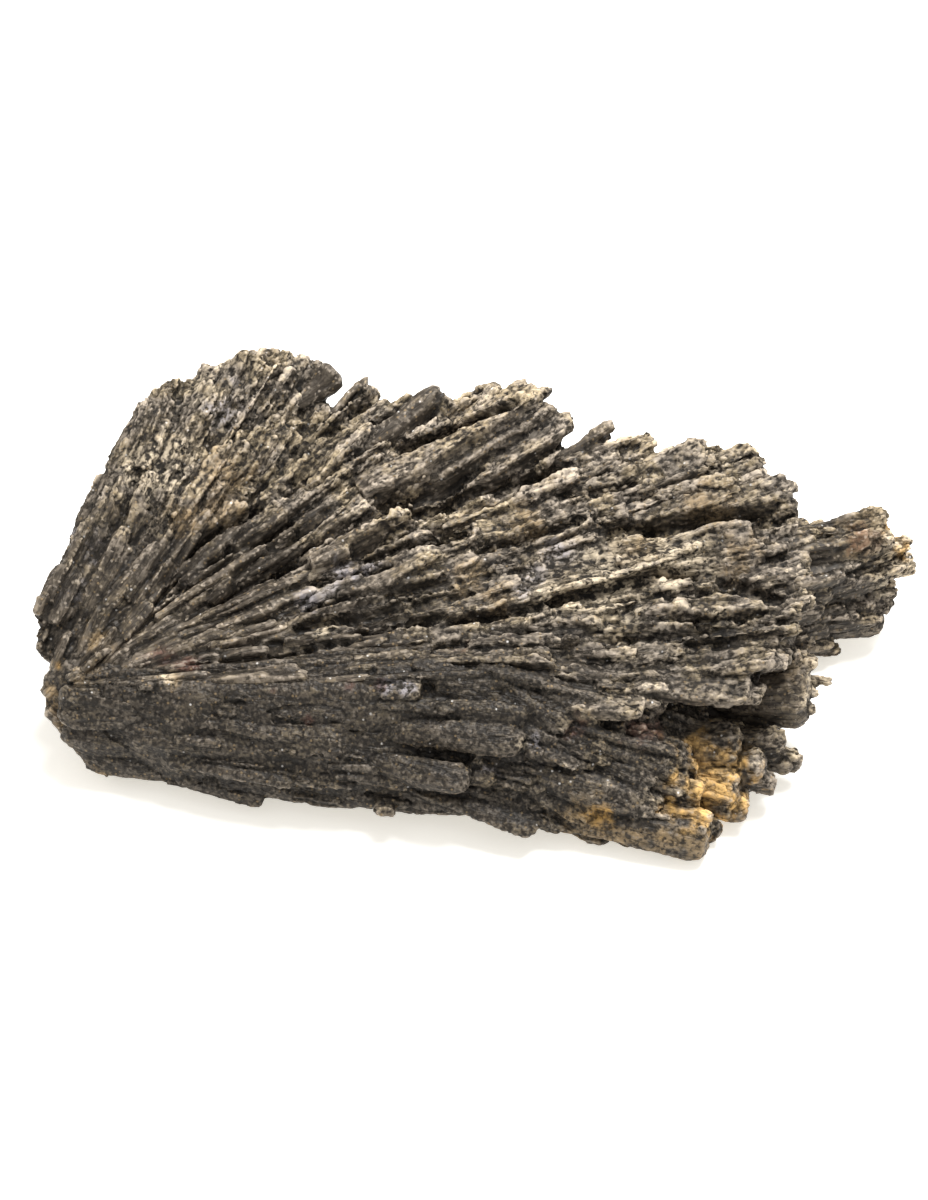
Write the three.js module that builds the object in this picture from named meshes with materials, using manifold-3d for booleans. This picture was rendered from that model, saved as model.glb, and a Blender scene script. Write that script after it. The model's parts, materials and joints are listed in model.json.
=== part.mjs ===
/**
 * Black kyanite crystal fan, built as one intergrown solid.
 *
 * Flat, splintery blades spread from one root, like a hand fan with a thick sheaf of ribs. The root stub is at
 * -X, the blade tips are at +X and at the back (+Y), and the specimen lies on its broad underside. The origin is
 * on the surface that it rests on, below the middle of its bounding box. Millimetres and degrees, +Z up.
 *
 * A direction is given by its heading, turned from +X towards +Y, and its rise above the level.
 */
import * as THREE from 'three';
import { ConvexGeometry } from 'three/addons/geometries/ConvexGeometry.js';
import { mergeVertices } from 'three/addons/utils/BufferGeometryUtils.js';
import Module from 'manifold-3d';

// ---- Driving dimensions ------------------------------------------------------------------------------------

const ROOT = [-50, -10, 12];        // the point that the blades of the main fan spread from
const CROWN_RISE = 5;               // rise of the fan's top surface along heading 0
const CROWN_TWIST = 1 / 3;          // extra rise for each degree of heading
const BLADE_WIDTH = 3.2;            // a common blade, across its flat
const BLADE_DEPTH = 2.2;            // the same blade, through its thickness
const TIP_LIFT = 1.2;               // how far a blade's tip stands proud of the blades beyond it
const CORE_DROP = 1.3;              // the solid mass lies this far under the crown
const CORE_SHARE = 0.9;             // and reaches this share of the blades' reach
const UNDERSIDE = 0.9;              // clearance of the mass above the surface that it rests on
const MIDDLE = [0.9, 0.8];          // middle of the bounding box in the coordinates of the lists below
const SEED = 20;

// The longest blades of the crown: heading, reach from the root, and width.
const LONG_BLADES = [
  [-3, 86, 4], [-0.8, 89, 4], [1.6, 90.5, 4], [4, 92, 4], [6.6, 92.5, 4], [9, 93, 4], [11.2, 92, 3],
  [12.7, 94, 2.2], [14.6, 91, 3.4], [16.4, 91, 3.4], [18.6, 85.5, 3.6], [20.2, 79, 4], [21.8, 73, 2.6],
  [23.1, 75.5, 1.5], [24.8, 69, 2.6], [26.5, 71, 2.6], [28.4, 66, 3], [29.9, 70.5, 3.6], [32.6, 66.5, 4.6],
  [34.2, 58, 3], [36.4, 61, 2.4], [38, 58, 3], [40.5, 55, 3], [43.3, 54, 1.8], [45.4, 50, 3], [48.2, 52, 3],
  [51.2, 52.5, 3.6], [54.8, 50.5, 3.6], [58, 49.5, 4], [61.6, 47, 4], [65, 44.5, 3.6], [68.5, 42.5, 3.4],
];

// The front sheet hangs between the ridge, where it meets the crown, and the hem, where it turns under.
const RIDGE = [
  [-52, -10, 14], [-44, -13, 14.4], [-21, -14, 16.7], [4, -11.5, 18.6], [18, -12.6, 16.6], [23, -13.6, 12.8],
  [28, -16, 9],
];
const HEM = [[-47, -15, 2.4], [-40, -18.4, 2.8], [-21, -23, 2.8], [4, -24, 3], [27, -27.8, 2.8]];

// ---- Small tools -------------------------------------------------------------------------------------------

const radians = THREE.MathUtils.degToRad;
const degrees = THREE.MathUtils.radToDeg;
const lerp = THREE.MathUtils.lerp;
const point = ([x, y, z]) => new THREE.Vector3(x, y, z);

let seed = SEED;
/** Repeatable random number from -1 to 1. */
function stray() {
  seed = (seed * 1664525 + 1013904223) % 4294967296;
  return seed / 2147483648 - 1;
}

/** Unit vector along a heading and a rise. */
function aim(heading, rise) {
  const level = Math.cos(radians(rise));
  return new THREE.Vector3(
    level * Math.cos(radians(heading)), level * Math.sin(radians(heading)), Math.sin(radians(rise)));
}

/** Rows of numbers that start with x, read at x along straight lines between the rows. */
function along(rows, x) {
  const next = rows.findIndex((row) => row[0] >= x);
  const i = next < 0 ? rows.length - 1 : Math.max(next, 1);
  const [low, high] = [rows[i - 1], rows[i]];
  const t = THREE.MathUtils.clamp((x - low[0]) / (high[0] - low[0]), 0, 1);
  return low.map((value, k) => lerp(value, high[k], t));
}

const crownRise = (heading) => CROWN_RISE + CROWN_TWIST * heading;
const crownReach = (heading) => along(LONG_BLADES, heading)[1];

/** Point on the fan's top surface, or `drop` below it. */
function crownPoint(heading, reach, drop = 0) {
  const p = point(ROOT).addScaledVector(aim(heading, crownRise(heading)), reach);
  p.z -= drop;
  return p;
}

/** Point on the front sheet: `down` is 0 on the ridge and 1 on the hem, `proud` is outwards. */
function sheetPoint(x, down, proud = 0) {
  const top = point([x, ...along(RIDGE, x).slice(1)]);
  const bottom = point([x, ...along(HEM, x).slice(1)]);
  const slope = bottom.clone().sub(top);
  const out = new THREE.Vector3(0, slope.z, -slope.y).normalize();
  const bulge = 1.6 * Math.sin(Math.PI * down);
  return top.lerp(bottom, down).addScaledVector(out, proud + bulge);
}

// ---- Solids ------------------------------------------------------------------------------------------------

const wasm = await Module();
wasm.setup();

/** A closed three.js geometry as a solid that can be joined and cut. */
function solid(geometry) {
  geometry.deleteAttribute('normal');
  geometry.deleteAttribute('uv');
  const merged = mergeVertices(geometry, 1e-4);
  return new wasm.Manifold(new wasm.Mesh({
    numProp: 3,
    vertProperties: new Float32Array(merged.attributes.position.array),
    triVerts: new Uint32Array(merged.index.array),
  }));
}

/** The convex mass around a list of points. */
function mass(points) {
  return solid(new ConvexGeometry(points.map((p) => (Array.isArray(p) ? point(p) : p))));
}

/**
 * One flat blade between two points. It narrows to `tipWidth` times its width and thins to `tipDepth` times its
 * depth, and its end is broken off aslant: `slant` sets it back on one edge and `bevel` on its upper flat.
 * `roll` turns it about its own length.
 */
function blade(from, to, { width = BLADE_WIDTH, depth = BLADE_DEPTH, tipWidth = 0.85, tipDepth = 0.75,
  slant = 0, bevel = 0, roll = 0 } = {}) {
  const ahead = to.clone().sub(from);
  const length = ahead.length();
  ahead.normalize();
  const aside = new THREE.Vector3(-ahead.y, ahead.x, 0).normalize().applyAxisAngle(ahead, radians(roll));
  const above = new THREE.Vector3().crossVectors(ahead, aside);
  const box = new THREE.BoxGeometry(1, 1, 1);
  const corners = box.attributes.position;
  for (let i = 0; i < corners.count; i += 1) {
    const [x, y, z] = [corners.getX(i) + 0.5, corners.getY(i), corners.getZ(i)];
    const p = from.clone()
      .addScaledVector(ahead, x * (length - slant * (y + 0.5) - bevel * (z + 0.5)))
      .addScaledVector(aside, y * width * lerp(1, tipWidth, x))
      .addScaledVector(above, z * depth * lerp(1, tipDepth, x));
    corners.setXYZ(i, p.x, p.y, p.z);
  }
  return solid(box);
}

/** The chance part of a blade's size and of its broken end. */
function variety(width = BLADE_WIDTH, depth = BLADE_DEPTH) {
  return {
    width: width * (1 + 0.25 * stray()),
    depth: depth * (1 + 0.25 * stray()),
    tipWidth: 0.8 + 0.2 * stray(),
    slant: 1.6 * stray(),
    bevel: 1 + stray(),
    roll: 14 * stray(),
  };
}

// ---- The mass that the blades grow from --------------------------------------------------------------------

/** The main fan, in wedges side by side that overlap a little. */
function fanMass() {
  const turns = [-4, 6, 14, 23, 32, 42, 54, 67];
  const stub = [[-51, -11, 12], [-48, -13, 12.5], [-46, -12, 3], [-49, -4, 6]];
  return turns.slice(1).map((turn, i) => {
    const ends = [turns[i] - 0.5, turn + 0.5].flatMap((heading) => {
      const reach = crownReach(heading) * CORE_SHARE;
      const foot = crownPoint(heading, reach * 0.88);
      return [crownPoint(heading, reach, CORE_DROP), [foot.x, foot.y, UNDERSIDE]];
    });
    return mass([...stub, ...ends]);
  });
}

/** The slab of near-parallel plates on the left. */
function leftSlabMass() {
  return mass([
    [-54.6, -6.6, 13], [-53.9, -3, 18.4], [-47, -8, 12], [-50, -4, 5], [-44, -6, 3],
    [-41.6, 19, 28.6], [-29, 24, 29], [-39, 15, UNDERSIDE], [-27, 18, UNDERSIDE],
  ]);
}

/** The broken stub at the root end. */
function rootStub() {
  return mass([
    [-51, -7, 15], [-48, -11, 15], [-54, -9.4, 12], [-53.8, -12, 8.4], [-51, -12.2, 6], [-48.6, -13.2, 4.8],
    [-46.6, -14.8, 1.2], [-44, -14, UNDERSIDE], [-47, -4, 4],
  ]);
}

/** The compact sheet of the front, thinning under towards the surface that it rests on. */
function frontSheetMass() {
  const stations = [-46, -30, -12, 4, 18, 23, 27];
  return stations.slice(1).map((x, i) => mass([stations[i], x].flatMap((end) => {
    const hem = sheetPoint(end, 1);
    const ridge = sheetPoint(end, 0);
    return [ridge, sheetPoint(end, 0.5), hem, [end, hem.y + 5, UNDERSIDE], [end, 0, 4], [end, -4, ridge.z - 2]];
  })));
}

/** The tail: a lower, shorter sheaf that stands out past the fan's right end. */
function tailMass() {
  return mass([
    [30, -2, 4], [30, 8, 19], [32, 14, 8],
    [44, 5, 3.6], [44, 6, 13], [45, 11, 15.5], [45, 18, 11], [45, 14, 4],
    [52, 9.5, 5.6], [52.4, 10, 13], [51.6, 14.4, 16.6], [52, 17.5, 11.5], [51, 14, 5.6],
  ]);
}

/** The lobe under the right block. */
function lowerLobeMass() {
  return mass([
    [16, -14, 4], [16, -6, 4], [16, -8, 12],
    [38, -12, 6], [39, -9, 4], [39, -4, 6], [40, -5, 12], [39, -9, 12],
    [42, -10, 8], [42, -6, 8], [41.6, -8, 11],
  ]);
}

/** The deep hollow between the right block and the blades below it. */
function hollow() {
  return mass([
    [19, -12, 15.4], [26, -17, 15.8], [37.5, -17, 15.8], [37.5, -6, 14.6], [24, -6, 14.6],
    [20, -13, 13.6], [26, -19, 9.6], [37.5, -19, 9.6], [37.5, -7, 10.6], [26, -7, 10.6],
  ]);
}

// ---- The blades --------------------------------------------------------------------------------------------

/** Rows of blades over the crown: share of the full reach where they end, and where they come to the surface. */
const CROWN_ROWS = [[0.26, 0.2], [0.39, 0.25], [0.51, 0.35], [0.63, 0.42], [0.75, 0.45], [0.87, 0.5]];

/** The crown's blades, their tips staggered outwards like shingles. */
function crownBlades() {
  const parts = [];
  for (const [share, from] of CROWN_ROWS) {
    let heading = -4 + stray();
    while (heading < 66) {
      const reach = crownReach(heading) * share * (1 + 0.06 * stray());
      const lift = TIP_LIFT * (0.7 + 0.6 * stray()) - BLADE_DEPTH / 2;
      const tip = crownPoint(heading, reach, -lift);
      const start = crownPoint(heading + 0.6 * stray(), reach * from, BLADE_DEPTH * share + 1.3);
      parts.push(blade(start, tip, variety()));
      heading += degrees(BLADE_WIDTH * (1.15 + 0.25 * stray()) / reach);
    }
  }
  return parts;
}

/** The longest blades, which draw the fan's outline. */
function outlineBlades() {
  return LONG_BLADES.map(([heading, reach, width]) => {
    const tip = crownPoint(heading, reach, BLADE_DEPTH * 0.4 + 0.2 * stray());
    const chance = variety(width);
    return blade(crownPoint(heading, reach * 0.5, 3.5), tip, { ...chance, width, slant: 0.3 * width * stray() });
  });
}

/** Rows of blade ends on the back and the right side: share of the crown's reach, share of its height, scale. */
const RIM_ROWS = [[0.97, 0.82, 1.3], [0.955, 0.64, 1.5], [0.93, 0.44, 1.7], [0.9, 0.24, 1.7]];

/** Blade ends that fill the back and the right side below the crown. */
function rimBlades() {
  const parts = [];
  for (const [share, height, scale] of RIM_ROWS) {
    let heading = 2 + stray();
    while (heading < 66) {
      const top = crownPoint(heading, crownReach(heading) * share * (1 + 0.04 * stray()));
      const tip = new THREE.Vector3(top.x, top.y, top.z * (height + 0.04 * stray()));
      const start = point(ROOT).lerp(tip, 0.5);
      parts.push(blade(start, tip, variety(BLADE_WIDTH * scale, BLADE_DEPTH * scale)));
      heading += degrees(BLADE_WIDTH * scale * 1.08 / crownReach(heading));
    }
  }
  return parts;
}

/** Low blades of the underside, which carry the specimen once they are rubbed flat: one broad, the rest common. */
function undersideBlades() {
  const parts = [blade(point([-24, -3, 0.9]), point([12, 3, 0.9]), { width: 9, depth: 2.2, tipDepth: 1, slant: 3 })];
  for (const [from, to] of [[0.12, 0.42], [0.34, 0.66], [0.56, 0.84]]) {
    for (let heading = -8; heading < 64; heading += 640 / crownReach(heading) / (from + to)) {
      const reach = crownReach(heading);
      const [start, tip] = [from, to].map((share) => {
        const p = crownPoint(heading, reach * share * (1 + 0.06 * stray()));
        return new THREE.Vector3(p.x, p.y, 0.9 + 0.35 * stray());
      });
      parts.push(blade(start, tip, { ...variety(BLADE_WIDTH * 1.2, 2), roll: 8 * stray() }));
    }
  }
  return parts;
}

/** The near-parallel plates of the left slab: each starts on the stub's shoulder and ends on the crest. */
function leftSlabBlades() {
  const parts = [];
  const plates = 8;
  for (let i = 0; i < plates; i += 1) {
    const t = i / (plates - 1);
    const from = point([-54.6, -6.6, 14]).lerp(point([-47, -8, 12.5]), t);
    const to = point([-39.6, 21.6, 30.2]).lerp(point([-23, 26, 31]), t);
    for (const share of [0.55, 0.78, 1]) {
      const tip = from.clone().lerp(to, share * (1 + 0.05 * stray()));
      tip.z += TIP_LIFT * (0.2 + 0.6 * stray());
      const start = from.clone().lerp(to, share * 0.3);
      start.z -= 1.5;
      parts.push(blade(start, tip, variety(2.8, 2.4)));
    }
  }
  return parts;
}

/** Broad plates that lie against the left side, below its edge. */
function leftSidePlates() {
  const parts = [];
  for (const height of [0.82, 0.6, 0.38, 0.18]) {
    const from = new THREE.Vector3(-51.5 + 2.5 * (1 - height), -5, 6 + 8 * height);
    const to = new THREE.Vector3(-41 + stray(), 17 + 5 * height + stray(), 29 * height);
    parts.push(blade(from, to, { ...variety(1.6, 5.4), tipDepth: 1, roll: 6 * stray() }));
  }
  return parts;
}

/** Long low blades that lie in the front sheet. */
function frontSheetBlades() {
  const parts = [];
  for (const down of [0.1, 0.29, 0.48, 0.67, 0.87]) {
    let x = -39 + 4 * stray();
    const farEnd = 20 + 10 * down;
    while (x < farEnd - 8) {
      const length = 22 + 8 * stray();
      const end = Math.min(x + length, farEnd + stray());
      const fall = down + 0.04 * stray();
      parts.push(blade(sheetPoint(x, fall - 0.02, -1.4), sheetPoint(end, fall, 0.1 + 0.4 * stray()),
        { ...variety(3, 2.8), roll: 45 + 10 * stray() }));
      x += length * 0.8;
    }
  }
  return parts;
}

// Blades that draw the outline of the tail, the lower lobe and the ragged lower right end: from, to, width, depth.
const END_BLADES = [
  [[36, 8, 10], [52.4, 13.4, 17.2], 4, 3.6], [[38, 12, 12], [55.4, 14, 14], 3.6, 4],
  [[36, 12, 11], [56, 13.4, 10.4], 3.6, 4], [[36, 8, 10], [54.8, 11.4, 6.8], 4, 3.6],
  [[34, 6, 8], [51.6, 9.4, 4], 4, 3.4], [[32, 4, 7], [47, 6.6, 2.8], 4, 3.6],
  [[36, 12, 8], [52, 16, 8.4], 4, 4], [[36, 12, 12], [52.6, 16.6, 13], 3.6, 3.4],
  [[24, -8, 9], [41.4, -5.6, 12], 4, 3.6], [[24, -9, 9], [43.4, -7.8, 9.6], 4, 3.6],
  [[24, -9, 8], [43, -9.6, 7.4], 4, 3.6], [[24, -9, 7], [40.8, -10.6, 5.8], 4, 3.4],
  [[22, -13, 8], [38.6, -13.4, 5.8], 3.4, 3.4], [[20, -14, 6], [40.2, -14.8, 4], 3, 3],
  [[20, -14, 7], [36, -16, 6.4], 3.6, 3], [[18, -15, 6], [36.6, -19.6, 4.4], 3, 3],
  [[16, -17, 6], [34.4, -21.4, 3], 3, 3], [[14, -18, 6], [32.8, -22.6, 4.4], 3, 3.4],
  [[10, -20, 4], [30.4, -24.6, 2.4], 3.4, 2.6], [[4, -21, 3], [26.8, -26.8, 1.9], 3.4, 2.6],
];

function endBlades() {
  return END_BLADES.map(([from, to, width, depth]) => (
    blade(point(from), point(to), { ...variety(width, depth), tipWidth: 0.8 })));
}

// ---- The whole specimen ------------------------------------------------------------------------------------

/** All masses and blades grown together, and rubbed flat where the specimen rests. */
function specimen() {
  const grown = [
    ...fanMass(), leftSlabMass(), rootStub(), ...frontSheetMass(), tailMass(), lowerLobeMass(),
    ...crownBlades(), ...outlineBlades(), ...rimBlades(), ...undersideBlades(), ...leftSlabBlades(),
    ...leftSidePlates(), ...frontSheetBlades(),
  ].reduce((whole, piece) => whole.add(piece));
  const hollowed = endBlades().reduce((whole, piece) => whole.add(piece), grown.subtract(hollow()));
  const below = new THREE.BoxGeometry(300, 300, 50).translate(0, 0, -25);
  return hollowed.subtract(solid(below));
}

/** The solid's faces as a three.js geometry. */
function toGeometry(body) {
  const mesh = body.getMesh();
  const geometry = new THREE.BufferGeometry();
  geometry.setAttribute('position', new THREE.BufferAttribute(new Float32Array(mesh.vertProperties), 3));
  geometry.setIndex(new THREE.BufferAttribute(new Uint32Array(mesh.triVerts), 1));
  return geometry;
}

const kyanite = new THREE.MeshStandardMaterial({ color: 0x4b443c, roughness: 0.6, metalness: 0.0 });
const fan = new THREE.Mesh(toGeometry(specimen()), kyanite);
fan.name = 'black_kyanite';
fan.position.set(-MIDDLE[0], -MIDDLE[1], 0);

const part = new THREE.Group();
part.add(fan);
export default part;
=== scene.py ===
"""Dresses the black kyanite fan: seven intergrown bundles of splintery blades on their shares of the solid.

Every bundle is made the same way. Its share of the solid is cut out and worn back a little, blades are set
on it along the bundle's own grain, all of it is grown together into one skin, and the skin is roughened with
grooves along the grain, lumps, crumb and pits. Lengths in the tables are millimetres in the solid's own
working coordinates, and angles are degrees. A heading is turned from +X towards +Y, and a rise is above the
level.
"""

import json
import math
from itertools import product

import bpy
import numpy as np
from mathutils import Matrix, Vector
from mathutils.bvhtree import BVHTree

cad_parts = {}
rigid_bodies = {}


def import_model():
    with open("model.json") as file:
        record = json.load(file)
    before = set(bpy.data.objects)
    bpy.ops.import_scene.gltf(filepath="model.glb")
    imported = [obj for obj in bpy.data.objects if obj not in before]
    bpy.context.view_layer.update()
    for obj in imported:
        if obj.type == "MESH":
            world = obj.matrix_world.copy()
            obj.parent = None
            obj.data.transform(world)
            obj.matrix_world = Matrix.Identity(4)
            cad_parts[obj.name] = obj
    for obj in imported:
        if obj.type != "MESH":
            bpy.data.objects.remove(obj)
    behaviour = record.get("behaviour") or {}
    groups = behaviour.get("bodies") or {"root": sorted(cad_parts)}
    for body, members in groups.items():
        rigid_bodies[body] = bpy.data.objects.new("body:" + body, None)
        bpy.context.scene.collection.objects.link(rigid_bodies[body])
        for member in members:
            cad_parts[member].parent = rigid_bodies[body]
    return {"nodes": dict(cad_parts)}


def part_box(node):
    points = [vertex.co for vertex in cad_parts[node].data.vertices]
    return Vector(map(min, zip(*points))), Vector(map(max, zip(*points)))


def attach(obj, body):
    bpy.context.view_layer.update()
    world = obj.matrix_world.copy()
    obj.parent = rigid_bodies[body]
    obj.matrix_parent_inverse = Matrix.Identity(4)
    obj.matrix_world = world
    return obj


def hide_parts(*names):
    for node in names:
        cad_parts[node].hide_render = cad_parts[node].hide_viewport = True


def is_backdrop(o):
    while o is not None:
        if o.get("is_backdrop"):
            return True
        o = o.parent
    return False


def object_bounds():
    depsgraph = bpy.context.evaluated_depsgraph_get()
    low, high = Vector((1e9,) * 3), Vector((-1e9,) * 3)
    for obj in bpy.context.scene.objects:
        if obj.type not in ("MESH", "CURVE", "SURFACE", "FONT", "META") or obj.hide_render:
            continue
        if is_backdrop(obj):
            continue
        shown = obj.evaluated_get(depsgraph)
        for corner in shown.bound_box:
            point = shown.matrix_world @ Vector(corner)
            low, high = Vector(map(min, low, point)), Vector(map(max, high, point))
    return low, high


bl_info = {
    "name": "Black Kyanite Fan",
    "version": (1, 0, 0),
    "blender": (4, 5, 0),
    "location": "View3D > Sidebar > Kyanite",
    "description": "Grows the blades and crumb of a black kyanite crystal fan on its solid",
    "category": "Add Mesh",
}

for leftover in list(bpy.data.objects):
    bpy.data.objects.remove(leftover)
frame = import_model()
SOLID = "black_kyanite"
SOLID_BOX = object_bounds()

# ---- Sizes shared by all bundles ----

MM = 0.001
LOW, HIGH = (np.array(corner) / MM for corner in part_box(SOLID))
MIDDLE = np.array([0.9, 0.8])  # middle of the solid's box in working coordinates
SHIFT = np.array([*(LOW[:2] + HIGH[:2]) / 2 - MIDDLE, LOW[2]])  # from working coordinates to the frame's
UP = np.array([0.0, 0.0, 1.0])
TINY = 1e-9
ROOT = np.array([-50.0, -10.0, 12.0])  # where the blades of the main fan meet
CROWN_RISE = 5.0  # rise of the fan's top along heading 0
CROWN_TWIST = 1 / 3  # extra rise for each degree of heading

# The crown's outline: heading and reach from the root.
RIM = np.array([
    (-3, 86), (-0.8, 89), (1.6, 90.5), (4, 92), (6.6, 92.5), (9, 93), (11.2, 92), (12.7, 94), (14.6, 91),
    (16.4, 91), (18.6, 85.5), (20.2, 79), (21.8, 73), (23.1, 75.5), (24.8, 69), (26.5, 71), (28.4, 66),
    (29.9, 70.5), (32.6, 66.5), (34.2, 58), (36.4, 61), (38, 58), (40.5, 55), (43.3, 54), (45.4, 50),
    (48.2, 52), (51.2, 52.5), (54.8, 50.5), (58, 49.5), (61.6, 47), (65, 44.5), (68.5, 42.5),
])


# ---- Directions and surfaces ----


def aim(heading, rise):
    """Unit vectors along headings and rises."""
    heading, rise = np.radians(heading), np.radians(rise)
    return np.stack([np.cos(rise) * np.cos(heading), np.cos(rise) * np.sin(heading), np.sin(rise)], axis=-1)


def unit(vectors):
    return vectors / np.maximum(np.linalg.norm(vectors, axis=-1, keepdims=True), TINY)


def dot(a, b):
    return np.sum(a * b, axis=-1)


def crown_reach(heading):
    return np.interp(heading, RIM[:, 0], RIM[:, 1])


def crown_ray(heading):
    heading = np.asarray(heading, float)
    return aim(heading, CROWN_RISE + CROWN_TWIST * heading)


def crown_point(heading, reach, drop=0.0):
    """Points on the fan's top surface, or `drop` below it."""
    points = ROOT + crown_ray(heading) * np.asarray(reach, float)[..., None]
    points[..., 2] -= drop
    return points


def crown_place(points):
    """Heading and reach of points from the root."""
    away = points - ROOT
    return np.degrees(np.arctan2(away[:, 1], away[:, 0])), np.linalg.norm(away, axis=1)


def along_grain(grain, along, across):
    """Places in the grain's own directions, scaled for noise: lumps a millimetre along and across it."""
    return grain * np.array([along, across, across])


def leant(out, along, angle):
    """Sides that face out, turned about their blades by an angle in radians."""
    return unit(out * np.cos(angle) + np.cross(along, out) * np.sin(angle))


def smoothstep(low, high, value):
    t = np.clip((value - low) / (high - low), 0, 1)
    return t * t * (3 - 2 * t)


# ---- Noise ----

OCTAVE_STEP = 2.03  # each octave is this much finer than the last
OCTAVE_FADE = 0.55  # and this much lower
OCTAVE_SHIFT = 17.3  # and its lumps lie elsewhere
GRAIN_SPREAD = 0.45  # how far a grain's middle strays from the middle of its cell
GRAIN_STEPS = 7  # turns a cell's number into the grain's height
SCRAMBLERS = (374761393, 668265263, 2147483647, 974634777, 1274126177)  # large odd numbers
LARGEST_NUMBER = 0xFFFFFF


def lattice(cells, seed):
    """A repeatable random number from -1 to 1 for each whole-numbered cell."""
    cells = cells.astype(np.int64)
    number = seed * SCRAMBLERS[3]
    for k in range(3):
        number = number + cells[..., k] * SCRAMBLERS[k]
    number = (number ^ (number >> 13)) * SCRAMBLERS[4]
    number = number ^ (number >> 16)
    return (number & LARGEST_NUMBER) / (LARGEST_NUMBER / 2) - 1


def noise(points, seed=0):
    """Smooth noise from -1 to 1, one lump a unit."""
    cell = np.floor(points)
    f = points - cell
    f = f * f * (3 - 2 * f)
    shares = (1 - f, f)
    total = np.zeros(len(points))
    for x, y, z in product((0, 1), repeat=3):
        share = shares[x][:, 0] * shares[y][:, 1] * shares[z][:, 2]
        total += share * lattice(cell + np.array([x, y, z]), seed)
    return total


def rough_noise(points, octaves, seed=0):
    """Noise with finer and finer octaves, from about -1 to 1."""
    total, size, whole = 0, 1.0, 0.0
    for octave in range(octaves):
        total = total + size * noise(points * OCTAVE_STEP**octave + OCTAVE_SHIFT * octave, seed + octave)
        whole += size
        size *= OCTAVE_FADE
    return total / whole


def blocks(points, seed=0):
    """Angular grains, one a unit: each one's own height from -1 to 1, and the distance from its middle."""
    own_cell = np.floor(points)
    nearest, height = np.full(len(points), np.inf), np.zeros(len(points))
    for step in product((-1, 0, 1), repeat=3):
        cell = own_cell + np.array(step)
        numbers = np.stack([lattice(cell, seed + k) for k in range(3)], axis=-1)
        distance = np.sum((points - cell - (numbers * GRAIN_SPREAD + 0.5)) ** 2, axis=1)
        closer = distance < nearest
        nearest = np.where(closer, distance, nearest)
        height = np.where(closer, np.modf(np.abs(numbers[:, 0]) * GRAIN_STEPS)[0] * 2 - 1, height)
    return height, np.sqrt(nearest)


# ---- Mesh tools ----


def only(piece):
    """Selects one object and nothing else."""
    bpy.ops.object.select_all(action="DESELECT")
    piece.select_set(True)
    bpy.context.view_layer.objects.active = piece


def finish_with(piece, kind, **settings):
    """Adds a modifier and applies it."""
    only(piece)
    modifier = piece.modifiers.new(kind.title(), kind)
    for key, value in settings.items():
        setattr(modifier, key, value)
    bpy.ops.object.modifier_apply(modifier=modifier.name)


def numbers_of(items, key, width=1, kind=np.int32):
    """One property of all vertices, edges, corners, faces or attribute values of a mesh."""
    flat = np.empty(len(items) * width, kind)
    items.foreach_get(key, flat)
    return flat.reshape(-1, width) if width > 1 else flat


def points_of(piece):
    return numbers_of(piece.data.vertices, "co", 3, np.float32).astype(float) / MM - SHIFT


def move_points(piece, points):
    piece.data.vertices.foreach_set("co", ((points + SHIFT) * MM).astype(np.float32).ravel())
    piece.data.update()


def normals_of(piece):
    return numbers_of(piece.data.vertex_normals, "vector", 3, np.float32).astype(float)


def corners_of(piece):
    """The vertex number of every face's corners, one face after another, and each face's first corner."""
    return numbers_of(piece.data.loops, "vertex_index"), numbers_of(piece.data.polygons, "loop_start")


def note(piece, name, values, kind="FLOAT"):
    """Writes one value for each vertex of a piece as an attribute."""
    attribute = piece.data.attributes.get(name) or piece.data.attributes.new(name, kind, "POINT")
    key = "vector" if kind == "FLOAT_VECTOR" else "value"
    attribute.data.foreach_set(key, np.asarray(values, np.int32 if kind == "INT" else np.float32).ravel())


def grow_together(piece, voxel):
    """Makes one closed skin around everything in a mesh, with even faces of the voxel's size."""
    only(piece)
    piece.data.remesh_voxel_size = voxel * MM
    piece.data.use_remesh_preserve_volume = False
    piece.data.use_remesh_preserve_attributes = True
    bpy.ops.object.voxel_remesh()


def drop_islands(piece):
    """Keeps only the connected part of a mesh that has the most vertices."""
    only(piece)
    bpy.ops.object.mode_set(mode="EDIT")
    bpy.ops.mesh.select_all(action="SELECT")
    bpy.ops.mesh.separate(type="LOOSE")
    bpy.ops.object.mode_set(mode="OBJECT")
    parts = sorted(bpy.context.selected_objects, key=lambda part: len(part.data.vertices))
    name, largest = piece.name, parts.pop()
    for part in parts:
        bpy.data.objects.remove(part)
    largest.name = name
    return largest


# ---- The solid's own faces ----


def solid_faces():
    """Middle, unit normal, area and corners of each triangle of the solid."""
    node = frame["nodes"][SOLID]
    corners, _ = corners_of(node)
    triangles = points_of(node)[corners].reshape(-1, 3, 3)
    cross = np.cross(triangles[:, 1] - triangles[:, 0], triangles[:, 2] - triangles[:, 0])
    return triangles.mean(axis=1), unit(cross), np.linalg.norm(cross, axis=1) / 2, triangles


FACE_MIDDLES, FACE_NORMALS, FACE_AREAS, FACE_CORNERS = solid_faces()
SOLID_TREE = BVHTree.FromPolygons(
    [Vector(corner) for corner in FACE_CORNERS.reshape(-1, 3)],
    [(3 * i, 3 * i + 1, 3 * i + 2) for i in range(len(FACE_CORNERS))])
PROBE = Vector((0.31, 0.22, 0.93))  # a direction along which no face of the solid lies
PROBE_STEP = 0.001  # how far the probe moves on past each face


def depth_in_solid(point):
    """How far a point lies under the solid's surface; less than 0 outside it."""
    place = Vector(point)
    distance = SOLID_TREE.find_nearest(place)[3]
    crossings = 0
    while True:
        place = SOLID_TREE.ray_cast(place, PROBE)[0]
        if place is None:
            return distance if crossings % 2 else -distance
        crossings += 1
        place = place + PROBE * PROBE_STEP


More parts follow.
